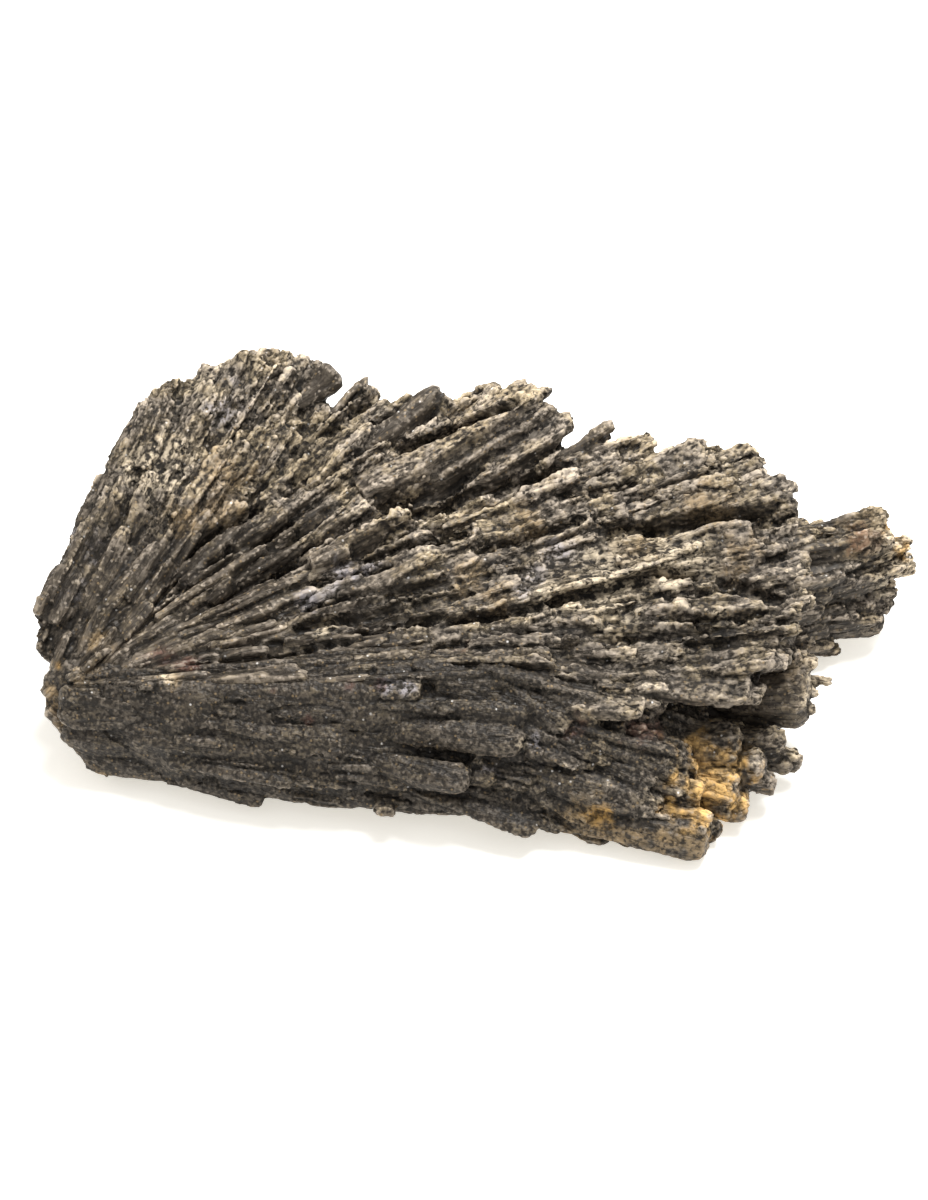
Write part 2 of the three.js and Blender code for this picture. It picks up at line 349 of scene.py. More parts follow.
def inside(points, planes, margin=0.0):
    """Which points lie within all planes; a plane is a point and the direction away from what is kept."""
    kept = np.ones(len(points), bool)
    for place, away in planes:
        kept &= dot(points - np.array(place), unit(np.array(away, float))) <= margin
    return kept


# ---- Blade shapes ----

# Each shape is a rod of unit size along X, given by its number of sides and by rings: share of the length,
# width, depth and lift.
BLADE_SHAPES = {
    "lath": (4, [
        (0, 0.7, 0.7, 0), (0.3, 1, 1, 0), (0.86, 1, 0.95, 0), (0.97, 0.92, 0.8, 0), (1, 0.7, 0.5, 0)]),
    "chisel": (4, [
        (0, 0.8, 0.8, 0), (0.4, 1, 1, 0), (0.88, 0.95, 0.9, 0), (1, 0.8, 0.35, -0.22)]),
    "knuckle": (8, [
        (0, 0.6, 0.6, 0), (0.5, 0.85, 0.8, 0), (0.72, 1, 0.95, 0), (0.9, 1.05, 1.1, 0.06),
        (0.98, 0.8, 0.85, 0.05), (1, 0.4, 0.45, 0.02)]),
    "rod": (8, [
        (0, 0.8, 0.8, 0), (0.3, 1, 1, 0), (0.85, 1.05, 1, 0), (0.96, 0.9, 0.85, 0), (1, 0.55, 0.5, 0)]),
    "ledge": (8, [
        (0, 0.3, 0.2, -0.5), (0.3, 0.8, 0.7, -0.2), (0.65, 1, 1, 0), (0.9, 1.05, 1.05, 0.02),
        (0.97, 0.85, 0.85, 0), (1, 0.5, 0.5, -0.04)]),
    "splinter": (4, [
        (0, 0.9, 0.9, 0), (0.45, 1, 1, 0), (0.8, 0.6, 0.7, 0), (1, 0.15, 0.2, 0.05)]),
    "step": (4, [
        (0, 0.9, 0.9, 0), (0.55, 1, 1, 0), (0.6, 0.9, 0.62, -0.16), (0.95, 0.8, 0.6, -0.16),
        (1, 0.6, 0.4, -0.2)]),
    "plate": (4, [
        (0, 0.8, 0.8, 0), (0.25, 1, 1, 0), (0.8, 1.05, 0.9, 0), (0.95, 0.95, 0.8, 0), (1, 0.8, 0.6, 0)]),
}


def model_blade(name, sides, rings):
    """One blade along X, extruded ring by ring from a flat end."""
    bpy.ops.object.select_all(action="DESELECT")
    radius = 0.5 / math.cos(math.pi / sides)
    bpy.ops.mesh.primitive_circle_add(
        vertices=sides, radius=radius, fill_type="NGON", rotation=(0, math.pi / 2, 0))
    blade = bpy.context.object
    blade.name = name
    bpy.ops.object.transform_apply(location=False, rotation=True, scale=False)
    bpy.ops.object.mode_set(mode="EDIT")
    bpy.ops.mesh.select_all(action="SELECT")
    bpy.ops.transform.rotate(value=math.pi / sides, orient_axis="X", center_override=(0, 0, 0))
    _, width, depth, lift = rings[0]
    bpy.ops.transform.resize(value=(1, width, depth), center_override=(0, 0, 0))
    bpy.ops.transform.translate(value=(0, 0, lift))
    for last, ring in zip(rings, rings[1:]):
        move = (ring[0] - last[0], 0, ring[3] - last[3])
        bpy.ops.mesh.extrude_region_move(TRANSFORM_OT_translate={"value": move})
        bpy.ops.transform.resize(
            value=(1, ring[1] / last[1], ring[2] / last[2]), center_override=(ring[0], 0, ring[3]))
    bpy.ops.mesh.select_all(action="SELECT")
    bpy.ops.mesh.normals_make_consistent(inside=False)
    bpy.ops.object.mode_set(mode="OBJECT")
    return blade


TIP_REACH = 1.2  # how far a blade's tip may stand off the solid
TIP_SHARES = (1, 0.93, 0.86, 0.79, 0.72, 0.6)  # how much of a blade is kept, so that its tip is that near
START_SHARES = (1, 0.75, 0.5, 0.3)  # and so that it starts inside the solid
START_DEPTH = 0.3  # how deep inside the solid a blade starts at least
MIDDLE_REACH = 0.5  # how far its middle may stand off the solid, in its own depths


class Blades:
    """A bundle's list of blades. Each has a start and a tip, a side that faces out, a width and a depth."""

    def __init__(self, name, seed):
        self.name = name
        self.bundle = BUNDLES[name]
        self.random = np.random.default_rng(seed)
        self.rows = {key: [] for key in ("start", "tip", "out", "width", "depth", "kind", "crumb")}

    def add(self, start, tip, out, width, depth, kinds):
        """Adds blades of shapes drawn from `kinds`, with both ends drawn in to fit the solid."""
        kind = self.random.choice(kinds, len(start))
        start, tip, seated = np.array(start), np.array(tip), np.zeros(len(start), bool)
        for i, (root, end) in enumerate(zip(start, tip)):
            along = end - root
            shares = [share for share in TIP_SHARES if depth_in_solid(root + along * share) > -TIP_REACH]
            if not shares:
                continue
            tip[i] = end = root + along * shares[0]
            for share in START_SHARES:
                start[i] = end + (root - end) * share
                middle = (start[i] + end) / 2
                if (depth_in_solid(start[i]) > START_DEPTH
                        and depth_in_solid(middle) > -MIDDLE_REACH * depth[i]):
                    seated[i] = True
                    break
        for key, value in zip(self.rows, (start, tip, out, width, depth, kind, np.ones(len(kind)))):
            self.rows[key].append(np.asarray(value)[seated])

    def place(self, rows):
        """Adds blades as they are: start, tip, width, depth, shape, lean to the back and share of crumb."""
        for start, tip, width, depth, kind, lean, crumb in rows:
            along = unit(np.array(tip, float) - start)
            out = leant(unit(UP - along * along[2]), along, math.radians(-lean))
            for key, value in zip(self.rows, (start, tip, out, width, depth, kind, crumb)):
                self.rows[key].append(np.array([value]))

    def table(self):
        return {key: np.concatenate(value) for key, value in self.rows.items()}


def frame_of(table):
    """Unit vectors along, across and out of each blade."""
    along = unit(table["tip"] - table["start"])
    out = unit(table["out"] - along * dot(table["out"], along)[:, None])
    return along, np.cross(out, along), out


def lay_blades(name, table):
    """All blades of a bundle as one mesh, with each blade's number on its points."""
    lengths = np.linalg.norm(table["tip"] - table["start"], axis=1)
    sizes, directions = (lengths, table["width"], table["depth"]), frame_of(table)
    points, corners, first, owner = [], [], [], []
    point_total = corner_total = 0
    for kind, (sides, rings) in BLADE_SHAPES.items():
        chosen = np.flatnonzero(table["kind"] == kind)
        if not len(chosen):
            continue
        shape = model_blade(kind, sides, rings)
        shape_points = (points_of(shape) + SHIFT) * MM
        shape_corners, shape_first = corners_of(shape)
        bpy.data.objects.remove(shape)
        place = table["start"][chosen][:, None]
        for size, direction, shares in zip(sizes, directions, shape_points.T):
            place = place + direction[chosen][:, None] * (shares * size[chosen][:, None])[..., None]
        turns = np.arange(len(chosen))[:, None]
        points.append(place.reshape(-1, 3))
        corners.append((shape_corners + turns * len(shape_points) + point_total).ravel())
        first.append((shape_first + turns * len(shape_corners) + corner_total).ravel())
        owner.append(np.repeat(chosen + 1, len(shape_points)))
        point_total += len(owner[-1])
        corner_total += len(corners[-1])
    points, corners, first, owner = (np.concatenate(part) for part in (points, corners, first, owner))
    mesh = bpy.data.meshes.new(name)
    mesh.vertices.add(len(points))
    mesh.loops.add(len(corners))
    mesh.polygons.add(len(first))
    mesh.loops.foreach_set("vertex_index", corners.astype(np.int32))
    mesh.polygons.foreach_set("loop_start", first.astype(np.int32))
    mesh.update(calc_edges=True)
    piece = bpy.data.objects.new(name, mesh)
    bpy.context.scene.collection.objects.link(piece)
    move_points(piece, points)
    note(piece, "blade", owner, "INT")
    return piece


# ---- Blades strewn along the grain ----

TREAD_LEAN = -24  # blades on top lie back like stair treads, and show a riser to the front
TREAD_SLOPES = (0.2, 0.7)  # how far normals point up, where that lean sets in and where it is all there
LEAN_SPREAD, SHINGLE_LEAN_SPREAD = 12, 9  # how far the leans of strewn blades and of shingles stray
TOP_SLOPE = 0.6  # faces whose normals point up more than this are on top
OVERLAP = 1.0  # how far past its planes a bundle has blades
END_FACING = 0.45  # faces that look along the grain more than this get the ends of blades
BACK_FACING = -0.2  # and those that look back along it more than this get none
TURN_LIMIT = 0.12  # how far a blade turns off the grain to follow the surface
BACK_SHARE = 0.75  # how much of a blade lies behind its place on the surface
END_HEIGHTS = (0.05, 0.4)  # least and most that the end of a blade stands out
BURIAL = (0.4, 0.03)  # how deep a blade starts: at least, and more for each millimetre of its length
SHINGLE_BURIAL = (0.6, 0.05)
LOWEST_TIP = -1.5  # blades that reach further below the floor are left out
NARROWNESS = 1.6  # above 1, narrow blades are commoner than wide ones
LAST_ROW = 1.02  # share of the crown's reach where the last row of shingles may start
SHINGLE_GAP = 1.05  # from shingle to shingle, in mean widths
SIDE_STRAY, ROW_STRAY = 0.4, 0.6  # how far a shingle strays from its place, in gaps and in rows
HEADING_STRAY = 1.3  # and its start from its heading
LONGEST_SHARE = 0.8  # the most of its reach that a shingle covers


def draw_widths(draw, wide, amount):
    return wide[0] + (wide[1] - wide[0]) * draw.random(amount) ** NARROWNESS


def strew(blades, spacing, long, wide, deep, high, kinds, top=1.0, within=()):
    """Lays blades all over a bundle's share of the solid's surface, each along the bundle's grain there.

    There is one for each `spacing` square millimetres, and it stands `high` above the surface. Only a `top`
    share of them is laid on top, where the fan's shingles cover it."""
    draw, bundle = blades.random, blades.bundle
    on_top = FACE_NORMALS[:, 2] > TOP_SLOPE
    here = inside(FACE_MIDDLES, bundle["planes"], OVERLAP) * (1 - (1 - top) * on_top)
    if within:
        here *= inside(FACE_MIDDLES, within)
    if "bare" in bundle:
        here *= ~inside(FACE_MIDDLES, bundle["bare"])
    weight = FACE_AREAS * here
    amount = int(weight.sum() / spacing)
    picked = draw.choice(len(weight), amount, p=weight / weight.sum())
    a, b = draw.random((2, amount, 1))
    a, b = np.where(a + b > 1, 1 - a, a), np.where(a + b > 1, 1 - b, b)
    corner = FACE_CORNERS[picked]
    place = corner[:, 0] + (corner[:, 1] - corner[:, 0]) * a + (corner[:, 2] - corner[:, 0]) * b
    normal = FACE_NORMALS[picked]
    grain = unit(place - apex_at(bundle, place))
    facing = dot(normal, grain)
    ends = facing > END_FACING
    direction = unit(grain - normal * np.clip(facing, -TURN_LIMIT, TURN_LIMIT)[:, None])
    length = draw.uniform(*long, amount)
    height = draw.uniform(*high, amount)
    width = draw_widths(draw, wide, amount)
    depth = draw.uniform(*deep, amount)
    back = np.where(ends, 1.0, BACK_SHARE) * length
    front = np.where(ends, np.clip(height, *END_HEIGHTS), (1 - BACK_SHARE) * length)
    burial = np.where(ends, 0, BURIAL[0] + BURIAL[1] * length)
    lift = np.where(ends, 0, height - depth / 2)
    start = place - direction * back[:, None] - normal * burial[:, None]
    tip = place + direction * front[:, None] + normal * lift[:, None]
    lean = draw.normal(0, LEAN_SPREAD, amount) + TREAD_LEAN * smoothstep(*TREAD_SLOPES, normal[:, 2])
    out = leant(np.where(ends[:, None], UP, normal), direction, np.radians(lean)[:, None])
    keep = (facing > BACK_FACING) & (tip[:, 2] > LOWEST_TIP)
    blades.add(start[keep], tip[keep], out[keep], width[keep], depth[keep], kinds)


def shingle(blades, headings, shares, row_gap, long, wide, deep, high, kinds, lean):
    """Lays rows of blades on the fan's top, staggered outwards like shingles.

    The rows lie between two headings and between two shares of the crown's reach."""
    draw = blades.random
    reach = shares[0] * crown_reach(sum(headings) / 2)
    while reach < LAST_ROW * shares[1] * RIM[:, 1].max():
        gap = np.degrees(np.mean(wide) * SHINGLE_GAP / reach)
        heading = np.arange(*headings, gap)
        heading = heading + draw.uniform(-SIDE_STRAY, SIDE_STRAY, len(heading)) * gap
        own = reach + draw.uniform(-ROW_STRAY, ROW_STRAY, len(heading)) * row_gap
        share = own / crown_reach(heading)
        fits = (share < shares[1]) & (share > shares[0])
        heading, own = heading[fits], own[fits]
        amount = len(heading)
        length = np.minimum(draw.uniform(*long, amount), own * LONGEST_SHARE)
        depth = draw.uniform(*deep, amount)
        lift = draw.uniform(*high, amount) - depth / 2
        start = crown_point(heading + draw.normal(0, HEADING_STRAY, amount), own - length)
        start[:, 2] -= SHINGLE_BURIAL[0] + SHINGLE_BURIAL[1] * length
        tip = crown_point(heading, own, -lift)
        ray = crown_ray(heading)
        out = unit(np.cross(ray, crown_ray(heading + 0.5) - crown_ray(heading - 0.5)))
        out = leant(out, ray, np.radians(draw.normal(lean, SHINGLE_LEAN_SPREAD, amount))[:, None])
        blades.add(start, tip, out, draw_widths(draw, wide, amount), depth, kinds)
        reach += row_gap


# ---- Bundles ----


def right(heading):
    """Level direction to the right of a heading."""
    return math.sin(math.radians(heading)), -math.cos(math.radians(heading)), 0


def left(heading):
    return right(heading + 180)


# Planes that part the bundles: a point on the plane, and the direction away from the side that is kept.
FRONT_OF_RIDGE = ((-50, -8, 0), (0.03, 1, 0))
BEHIND_RIDGE = ((-50, -10, 0), (-0.06, -1, 0))
FAN_APEX = ROOT - np.array([4, 1, 1])

# The hollow under the right block, where the block has no blades of its own.
HOLLOW = [((0, -3, 0), (0, 1, 0)), ((0, 0, 12.5), (0, 0, 1)), ((14, 0, 0), (-1, 0, 0))]

# Each bundle's apex, where its grain spreads from, the planes around its share of the solid, and the most
# triangles that its skin may have. An apex that moves is a list of rows: where along X it holds, and its own
# place. A bundle that is worn or roughened otherwise than the rest says how many times as much.
BUNDLES = {
    "left_slab": {
        "apex": (-66, -32, 0),
        "planes": [((-46, -8, 0), right(54))],
        "triangles": 130000,
    },
    "fan_high": {
        "apex": FAN_APEX,
        "planes": [(ROOT, right(31)), (ROOT, left(58))],
        "triangles": 150000,
    },
    "fan_middle": {
        "apex": FAN_APEX,
        "planes": [(ROOT, right(16)), (ROOT, left(33.5))],
        "triangles": 150000,
    },
    "right_block": {
        "apex": FAN_APEX,
        "planes": [(ROOT, left(18.5)), BEHIND_RIDGE, ((44, 0, 17), (15, 0, -6)), ((-47, 0, 0), (-1, 0, 0))],
        "bare": HOLLOW,
        "triangles": 185000,
    },
    "front_sheet": {
        "apex": [(-5, -130, -8, 22), (10, -28, -6, 24)],
        "planes": [FRONT_OF_RIDGE, ((28.5, 0, 0), (1, 0, 0))],
        "triangles": 170000,
        "wear": 0.3,
        "rounding": 16,
        "risers": 0,
        "grooves": 0.6,
        "ribs": 1.8,
        "grit": 2,
    },
    "tail_sheaf": {
        "apex": (-20, -8, 7),
        "planes": [((41, 0, 17), (-15, 0, 6)), ((0, 0, 19), (0, 0, 1)), ((0, -3.5, 0), (0, -1, 0))],
        "triangles": 90000,
    },
    "lower_lobe": {
        "apex": (-30, -8, 12),
        "planes": [((22, 0, 0), (-1, 0, 0)), ((0, 0, 13.5), (0, 0, 1)), ((0, 0, 0), (0, 1, 0))],
        "triangles": 110000,
    },
}

# Blades that stand out by themselves: start, tip, width, depth, shape, lean and share of crumb.
LONE_BLADES = {
    "fan_high": [
        ((-22, 23, 29), (-17.2, 26.8, 31.2), 3.6, 3.4, "knuckle", 0, 0.1),
        ((-17, 22, 28), (-12.6, 27, 30.6), 2.0, 1.6, "splinter", 0, 0.2),
        ((-14, 17, 26), (-3.6, 24.2, 30.2), 3, 3, "rod", 10, 0.0),
        ((-4.4, 21, 28), (-2.2, 23, 29.6), 2.8, 2.4, "knuckle", 0, 0.6),
        ((-42, 16, 27), (-39, 23.5, 30.8), 4.5, 3, "knuckle", 0, 1),
        ((-36, 20, 28), (-32.5, 27, 31.4), 4.5, 3, "knuckle", 0, 1),
        ((-31, 21, 28), (-26.5, 27.8, 31.6), 4.5, 3, "knuckle", 0, 1),
    ],
    "fan_middle": [
        ((-14, 11.4, 24.4), (8.4, 23.6, 31.2), 5.2, 2.4, "plate", 12, 0.8),
        ((-8, 11, 24), (10.4, 21.6, 29.8), 2.8, 2.0, "lath", 20, 0.5),
        ((-2, 11.6, 24), (12.6, 19.8, 29.4), 3.8, 2.2, "plate", 10, 0.9),
        ((10, 15, 26), (18.4, 19, 29), 1.6, 1.8, "lath", 0, 0.0),
        ((12, 14, 26), (17, 16.2, 27.8), 1.4, 1.4, "rod", 0, 0.0),
    ],
    "right_block": [
        ((28, 11.5, 26), (36.6, 13.8, 28), 2.8, 2.2, "knuckle", 0, 1),
        ((31, 8.5, 25.4), (40.2, 10.4, 26.8), 2.4, 2, "knuckle", 0, 1),
        ((32, 6, 23), (41.2, 7.4, 24), 3, 2.4, "knuckle", 0, 1),
        ((30, -3, 18.6), (36.4, -4, 18.2), 2.6, 2.4, "knuckle", 0, 1),
    ],
    "front_sheet": [
        ((-12, -14.4, 15.6), (-6, -15.4, 16.3), 2.2, 1.5, "plate", -30, 0.8),
        ((-14, -18, 13), (6.4, -20.4, 12.6), 3.8, 3.4, "ledge", -50, 1.2),
        ((-15, -20.6, 10), (0, -23.4, 9), 3.8, 3.2, "ledge", -55, 1.2),
        ((-10, -16.2, 15.2), (7, -18.2, 14.6), 2.4, 2.2, "ledge", -45, 0.9),
        ((-5, -10.4, 18.6), (12, -19.4, 13.4), 3.0, 2.2, "ledge", -30, 1.6),
        ((0, -10.4, 18.6), (16, -18, 14.4), 3.4, 2.4, "ledge", -30, 1.0),
        ((-2, -19.6, 11.2), (23, -25.6, 5.8), 4.2, 3.2, "ledge", -50, 1.4),
        ((6, -17.6, 12.6), (26, -21, 9.4), 4, 3.0, "ledge", -45, 1.4),
        ((4, -23.4, 4.8), (29.4, -28, 2.6), 5, 4, "ledge", -40, 0.2),
        ((-26, -16.2, 11.6), (-51.4, -12.2, 11), 5, 2.4, "ledge", 50, 0.3),
        ((-24, -18.0, 7.8), (-50.6, -13.2, 7.8), 6, 2.6, "ledge", 60, 0.3),
        ((-26, -19.0, 4.6), (-48.4, -14.4, 4.6), 5, 2.6, "ledge", 65, 0.3),
    ],
    "lower_lobe": [
        ((26, -8, 8), (42.4, -8.6, 8.4), 8, 7.4, "ledge", 0, 0.35),
        ((21, -19.6, 4.4), (33.4, -21, 5), 7, 4.6, "ledge", -45, 1.5),
        ((19, -16.6, 8), (33.4, -17.6, 8.6), 6.4, 4.6, "ledge", -40, 1.4),
        ((27, -15, 7.4), (39, -15.6, 7.6), 3.4, 3, "knuckle", 0, 1.2),
        ((26, -18, 6), (36.6, -19, 6.4), 4.6, 4, "knuckle", 0, 1),
        ((26, -21.6, 3), (34.4, -22.2, 3), 4, 3.4, "knuckle", 0, 1),
    ],
}

# Deep gaps between the blades of the crown: heading and reach of both ends, then width and depth.
GAPS = [
    (13.4, 68, 10.6, 92, 1.8, 3.0), (34, 50, 28.6, 67, 1.8, 3.2), (20.5, 39, 17.9, 54, 1.5, 2.6),
    (27.4, 44, 24.8, 58, 1.5, 2.6), (48, 20, 40, 34, 1.4, 2.6), (38, 22, 33, 36, 1.3, 2.4),
    (28, 20, 25, 34, 1.3, 2.2), (25.4, 46, 20.6, 70, 1.7, 2.8), (15.8, 53, 14.4, 68, 1.4, 2.2),
    (13.3, 68, 12.2, 80, 1.2, 1.8), (14.6, 30, 12.4, 42, 1.0, 1.7), (19.3, 32, 16.4, 44, 0.9, 1.5),
    (58.5, 17, 49.5, 34, 1.6, 1.6), (33.5, 51, 28.3, 67, 1.1, 1.8), (52.1, 41, 52.4, 51.5, 2.6, 3.2),
    (39.2, 47, 37.8, 55, 1.0, 1.6), (6, 81, 3.3, 90, 1.8, 1.6), (23.2, 36, 21.6, 48, 0.8, 1.3),
    (32.6, 27, 29.6, 37, 0.8, 1.3), (44, 29, 40, 39, 0.8, 1.3), (18.1, 65, 16.6, 76, 0.8, 1.3),
]


def apex_at(bundle, points):
    """Where the grain at some points spreads from."""
    apex = np.atleast_2d(np.array(bundle["apex"], float))
    if apex.shape[1] == 3:
        return apex[0]
    return np.stack([np.interp(points[:, 0], apex[:, 0], apex[:, k]) for k in (1, 2, 3)], axis=1)


CUTTER_SIZE = 0.3  # metres, larger than the solid
MERGE_DISTANCE = 1e-6  # metres


def share_of_solid(name, planes, voxel, wear, rounding):
    """A bundle's share of the solid, cut out by a cutter that the planes bound, and worn back."""
    copy = frame["nodes"][SOLID].copy()
    copy.data = copy.data.copy()
    copy.parent = None
    copy.name = name
    for key in list(copy.keys()):
        del copy[key]
    bpy.context.scene.collection.objects.link(copy)
    copy.hide_viewport = copy.hide_render = False
    only(copy)
    bpy.ops.object.mode_set(mode="EDIT")
    bpy.ops.mesh.select_all(action="SELECT")
    bpy.ops.mesh.remove_doubles(threshold=MERGE_DISTANCE)
    bpy.ops.object.mode_set(mode="OBJECT")
    bpy.ops.object.select_all(action="DESELECT")
    bpy.ops.mesh.primitive_cube_add(size=CUTTER_SIZE)
    cutter = bpy.context.object
    bpy.ops.object.mode_set(mode="EDIT")
    for place, away in planes:
        bpy.ops.mesh.select_all(action="SELECT")
        bpy.ops.mesh.bisect(
            plane_co=tuple((np.array(place) + SHIFT) * MM), plane_no=unit(np.array(away, float)),
            use_fill=True, clear_outer=True)
    bpy.ops.object.mode_set(mode="OBJECT")
    finish_with(copy, "BOOLEAN", operation="INTERSECT", object=cutter, solver="MANIFOLD")
    bpy.data.objects.remove(cutter)
    grow_together(copy, voxel)
    finish_with(copy, "DISPLACE", strength=-wear * MM, mid_level=0)
    finish_with(copy, "SMOOTH", factor=0.5, iterations=rounding)
    return copy


# ---- Roughening ----

# Noise that is alike all ways: size of its lumps, octaves and seed.
EVEN_NOISES = {
    "patches": (6, 3, 5), "tips": (1.5, 1, 11), "lumps": (2.4, 3, 31), "grit": (0.75, 2, 51),
    "pitted": (5, 2, 59), "ragged patches": (1.3, 3, 71), "ragged gaps": (1.5, 1, 91),
}
# Noise that is drawn out along the grain: lumps a millimetre along and across it, octaves and seed.
GRAIN_NOISES = {"grooves": (0.1, 1.3, 2, 21), "ribs": (0.05, 0.4, 2, 25), "cracks": (0.13, 0.7, 1, 61)}
# Angular grains: how many a millimetre along and across the grain, and seed.
GRAIN_BLOCKS = {"large": (0.6, 1.2, 43), "small": (1.4, 1.9, 47), "pits": (0.45, 0.8, 57)}
# How much of each form there is on bare blades, and how much on full crumb.
ON_CRUMB = {
    "grooves": (1, 0.5), "cracks": (0.5, 1), "grit": (0.3, 1), "lumps": (0.2, 1), "grains": (0.2, 1),
    "buds": (0, 1), "pits": (0, 1),
}
WARP_SIZE, WARP, WARP_SEED = 1.2, 0.25, 41  # how the angular grains are bent
BEND_SIZE, BEND, BEND_SEED = 6, 0.7, 81  # and the blades
BUD_SIZE, BUD_SEED = 0.9, 55
BUD_SCALE, BUD_LEVEL = 3, 0.6  # make the buds' noise a height
SMALL_GRAINS = 0.7  # height of the small grains, in that of the large ones
GRAIN_EDGE, GRAIN_GAP = (0.35, 0.75), 0.12  # where grains end, and how deep it is between them
PIT_CELLS, PIT_WALLS = (-0.1, 0.4), (0.5, 0.2)  # which grains are pits, and where their walls are
PIT_PATCHES = (-0.3, 0.3)
CRACK_WIDTH = 0.13
FLOOR_ZONE = 0.9  # up to this height the skin is rubbed flatter and flatter
NUMBER_STEP, NUMBER_LAP = 7.31, 50  # set blades apart in the noise, so that no two look the same
BARE_BACK = 30  # bare stone counts as this far behind a tip
BARE_REACH = 60  # and this far from the apex, where angles are made millimetres
TIP_ZONE, TIP_STRAY = (5.0, 0.5), 1.5  # from the end of a tip's crumb to where it is full, and its stray
RISER_SLOPES = (0.55, 0.1)  # how far normals point up, from where a riser sets in to a full one
RISER_CRUMB, RISER_PAINTED_SHADE = 0.5, 1.2  # how much less crumb risers have, and how much painted shade darkens them where they face away from the light
TONE_SEED = 7
AVERAGING = 0.6  # how far each round of averaging goes
CRUMB_STARTS = {"fan_high": 0.42, "fan_middle": 0.42, "right_block": 0.34}  # shares of the crown's reach
CRUMB_BAND = 0.27  # how much further out the crumb is full
SLAB_FOOT, SLAB_AXIS, SLAB_LENGTH = (-51, -7, 13), (1.0, 1.6, 0.85), 42


def even_noise(kind, points):
    size, octaves, seed = EVEN_NOISES[kind]
    return rough_noise(points / size, octaves, seed)


def grain_noise(kind, grain):
    along, across, octaves, seed = GRAIN_NOISES[kind]
    return rough_noise(along_grain(grain, along, across), octaves, seed)


def grain_blocks(kind, grain, warp):
    along, across, seed = GRAIN_BLOCKS[kind]
    return blocks(along_grain(grain, along, across) + warp, seed)


def bends(points, seed):
    """A different noise along each axis."""
    return np.stack([noise(points, seed + k) for k in range(3)], axis=1)


def neighbours_mean(piece, values, rounds):
    """Values on a piece's points, averaged again and again with those of the points beside them."""
    a, b = numbers_of(piece.data.edges, "vertices", 2).T
    amount = len(values)
    share = 1 / np.maximum(np.bincount(a, minlength=amount) + np.bincount(b, minlength=amount), 1)
    for _ in range(rounds):
        total = np.stack([
            np.bincount(a, v[b], amount) + np.bincount(b, v[a], amount) for v in values.T], axis=1)
        values = (1 - AVERAGING) * values + AVERAGING * total * share[:, None]
    return values


def grain_places(points, owner, table, bundle):
    """Each point in its blade's own millimetres: back from the tip, across and out.

    Bare stone has the way from the apex, and the angles around it as if in millimetres."""
    along, across, out = frame_of(table)
    blade = np.maximum(owner - 1, 0)
    away = points - table["tip"][blade]
    local = np.stack([dot(away, along[blade]), dot(away, across[blade]), dot(away, out[blade])], axis=1)
    local[:, 1:] += (owner * NUMBER_STEP % NUMBER_LAP)[:, None]
    ray = points - apex_at(bundle, points)
    reach = np.linalg.norm(ray, axis=1)
    side, rise = np.arctan2(ray[:, 1], ray[:, 0]), np.arcsin(np.clip(ray[:, 2] / reach, -1, 1))
    bare = np.stack([reach, side * BARE_REACH, rise * BARE_REACH], axis=1)
    return np.where((owner > 0)[:, None], local, bare)


def crumb_zone(name, points):
    """How crumbly the surface is, from 0, dark and striated, to 1, all crumb."""
    patchy = even_noise("patches", points)
    x, _, z = points.T
    if name in CRUMB_STARTS:  # the outer part of the crown, and less low down
        heading, reach = crown_place(points)
        start = CRUMB_STARTS[name]
        zone = smoothstep(start, start + CRUMB_BAND, reach / crown_reach(heading) + 0.16 * patchy)
        return zone * (0.35 + 0.65 * smoothstep(8, 18, z))
    if name == "left_slab":  # the upper part of the slab, and less low down
        up = dot(points - np.array(SLAB_FOOT), unit(np.array(SLAB_AXIS))) / SLAB_LENGTH
        return smoothstep(0.2, 0.85, up + 0.25 * patchy) * (0.3 + 0.7 * smoothstep(8, 20, z))
    if name == "front_sheet":  # a little, and more to the right
        return 0.05 + 0.25 * smoothstep(0.0, 0.7, patchy + 0.03 * x)
    if name == "tail_sheaf":  # the tips
        return 0.3 + 0.5 * smoothstep(46, 56, x + 6 * patchy)
    return 0.35 + 0.5 * smoothstep(32, 42, x + 6 * patchy)  # the tips of the lobe


GAP_AMOUNT = 40  # thin gaps in each bundle of the crown
GAP_FLATNESS = 0.15  # how little height counts in how far a point is from a gap's line
GAP_OVERHANG = -0.2  # gaps leave faces alone whose normals point down more than this
GAP_MARGIN = (3, 60)  # how many degrees beside a gap are looked at: at least, and more for near ones
GAP_START, GAP_END = (-0.02, 0.15), (1.02, 0.85)  # shares of a gap's length, where it gets deep at each end
GAP_EDGE, GAP_STRAY = (1.3, 0.8), 0.2  # from its edge to where it is deep, in half widths, and its stray


def small_gaps(name, headings):
    """Thin gaps along the fan's grain; the length of the bundle's name is their seed."""
    draw = np.random.default_rng(len(name))
    heading, near = draw.uniform(*headings, GAP_AMOUNT), draw.uniform(0.15, 0.93, GAP_AMOUNT)
    near *= crown_reach(heading)
    turn, long = draw.normal(0, 25, GAP_AMOUNT) / near, draw.uniform(6, 18, GAP_AMOUNT)
    width, depth = draw.uniform(0.5, 0.9, GAP_AMOUNT), draw.uniform(1.0, 2.0, GAP_AMOUNT)
    return list(zip(heading, near, heading + turn, near + long, width, depth))


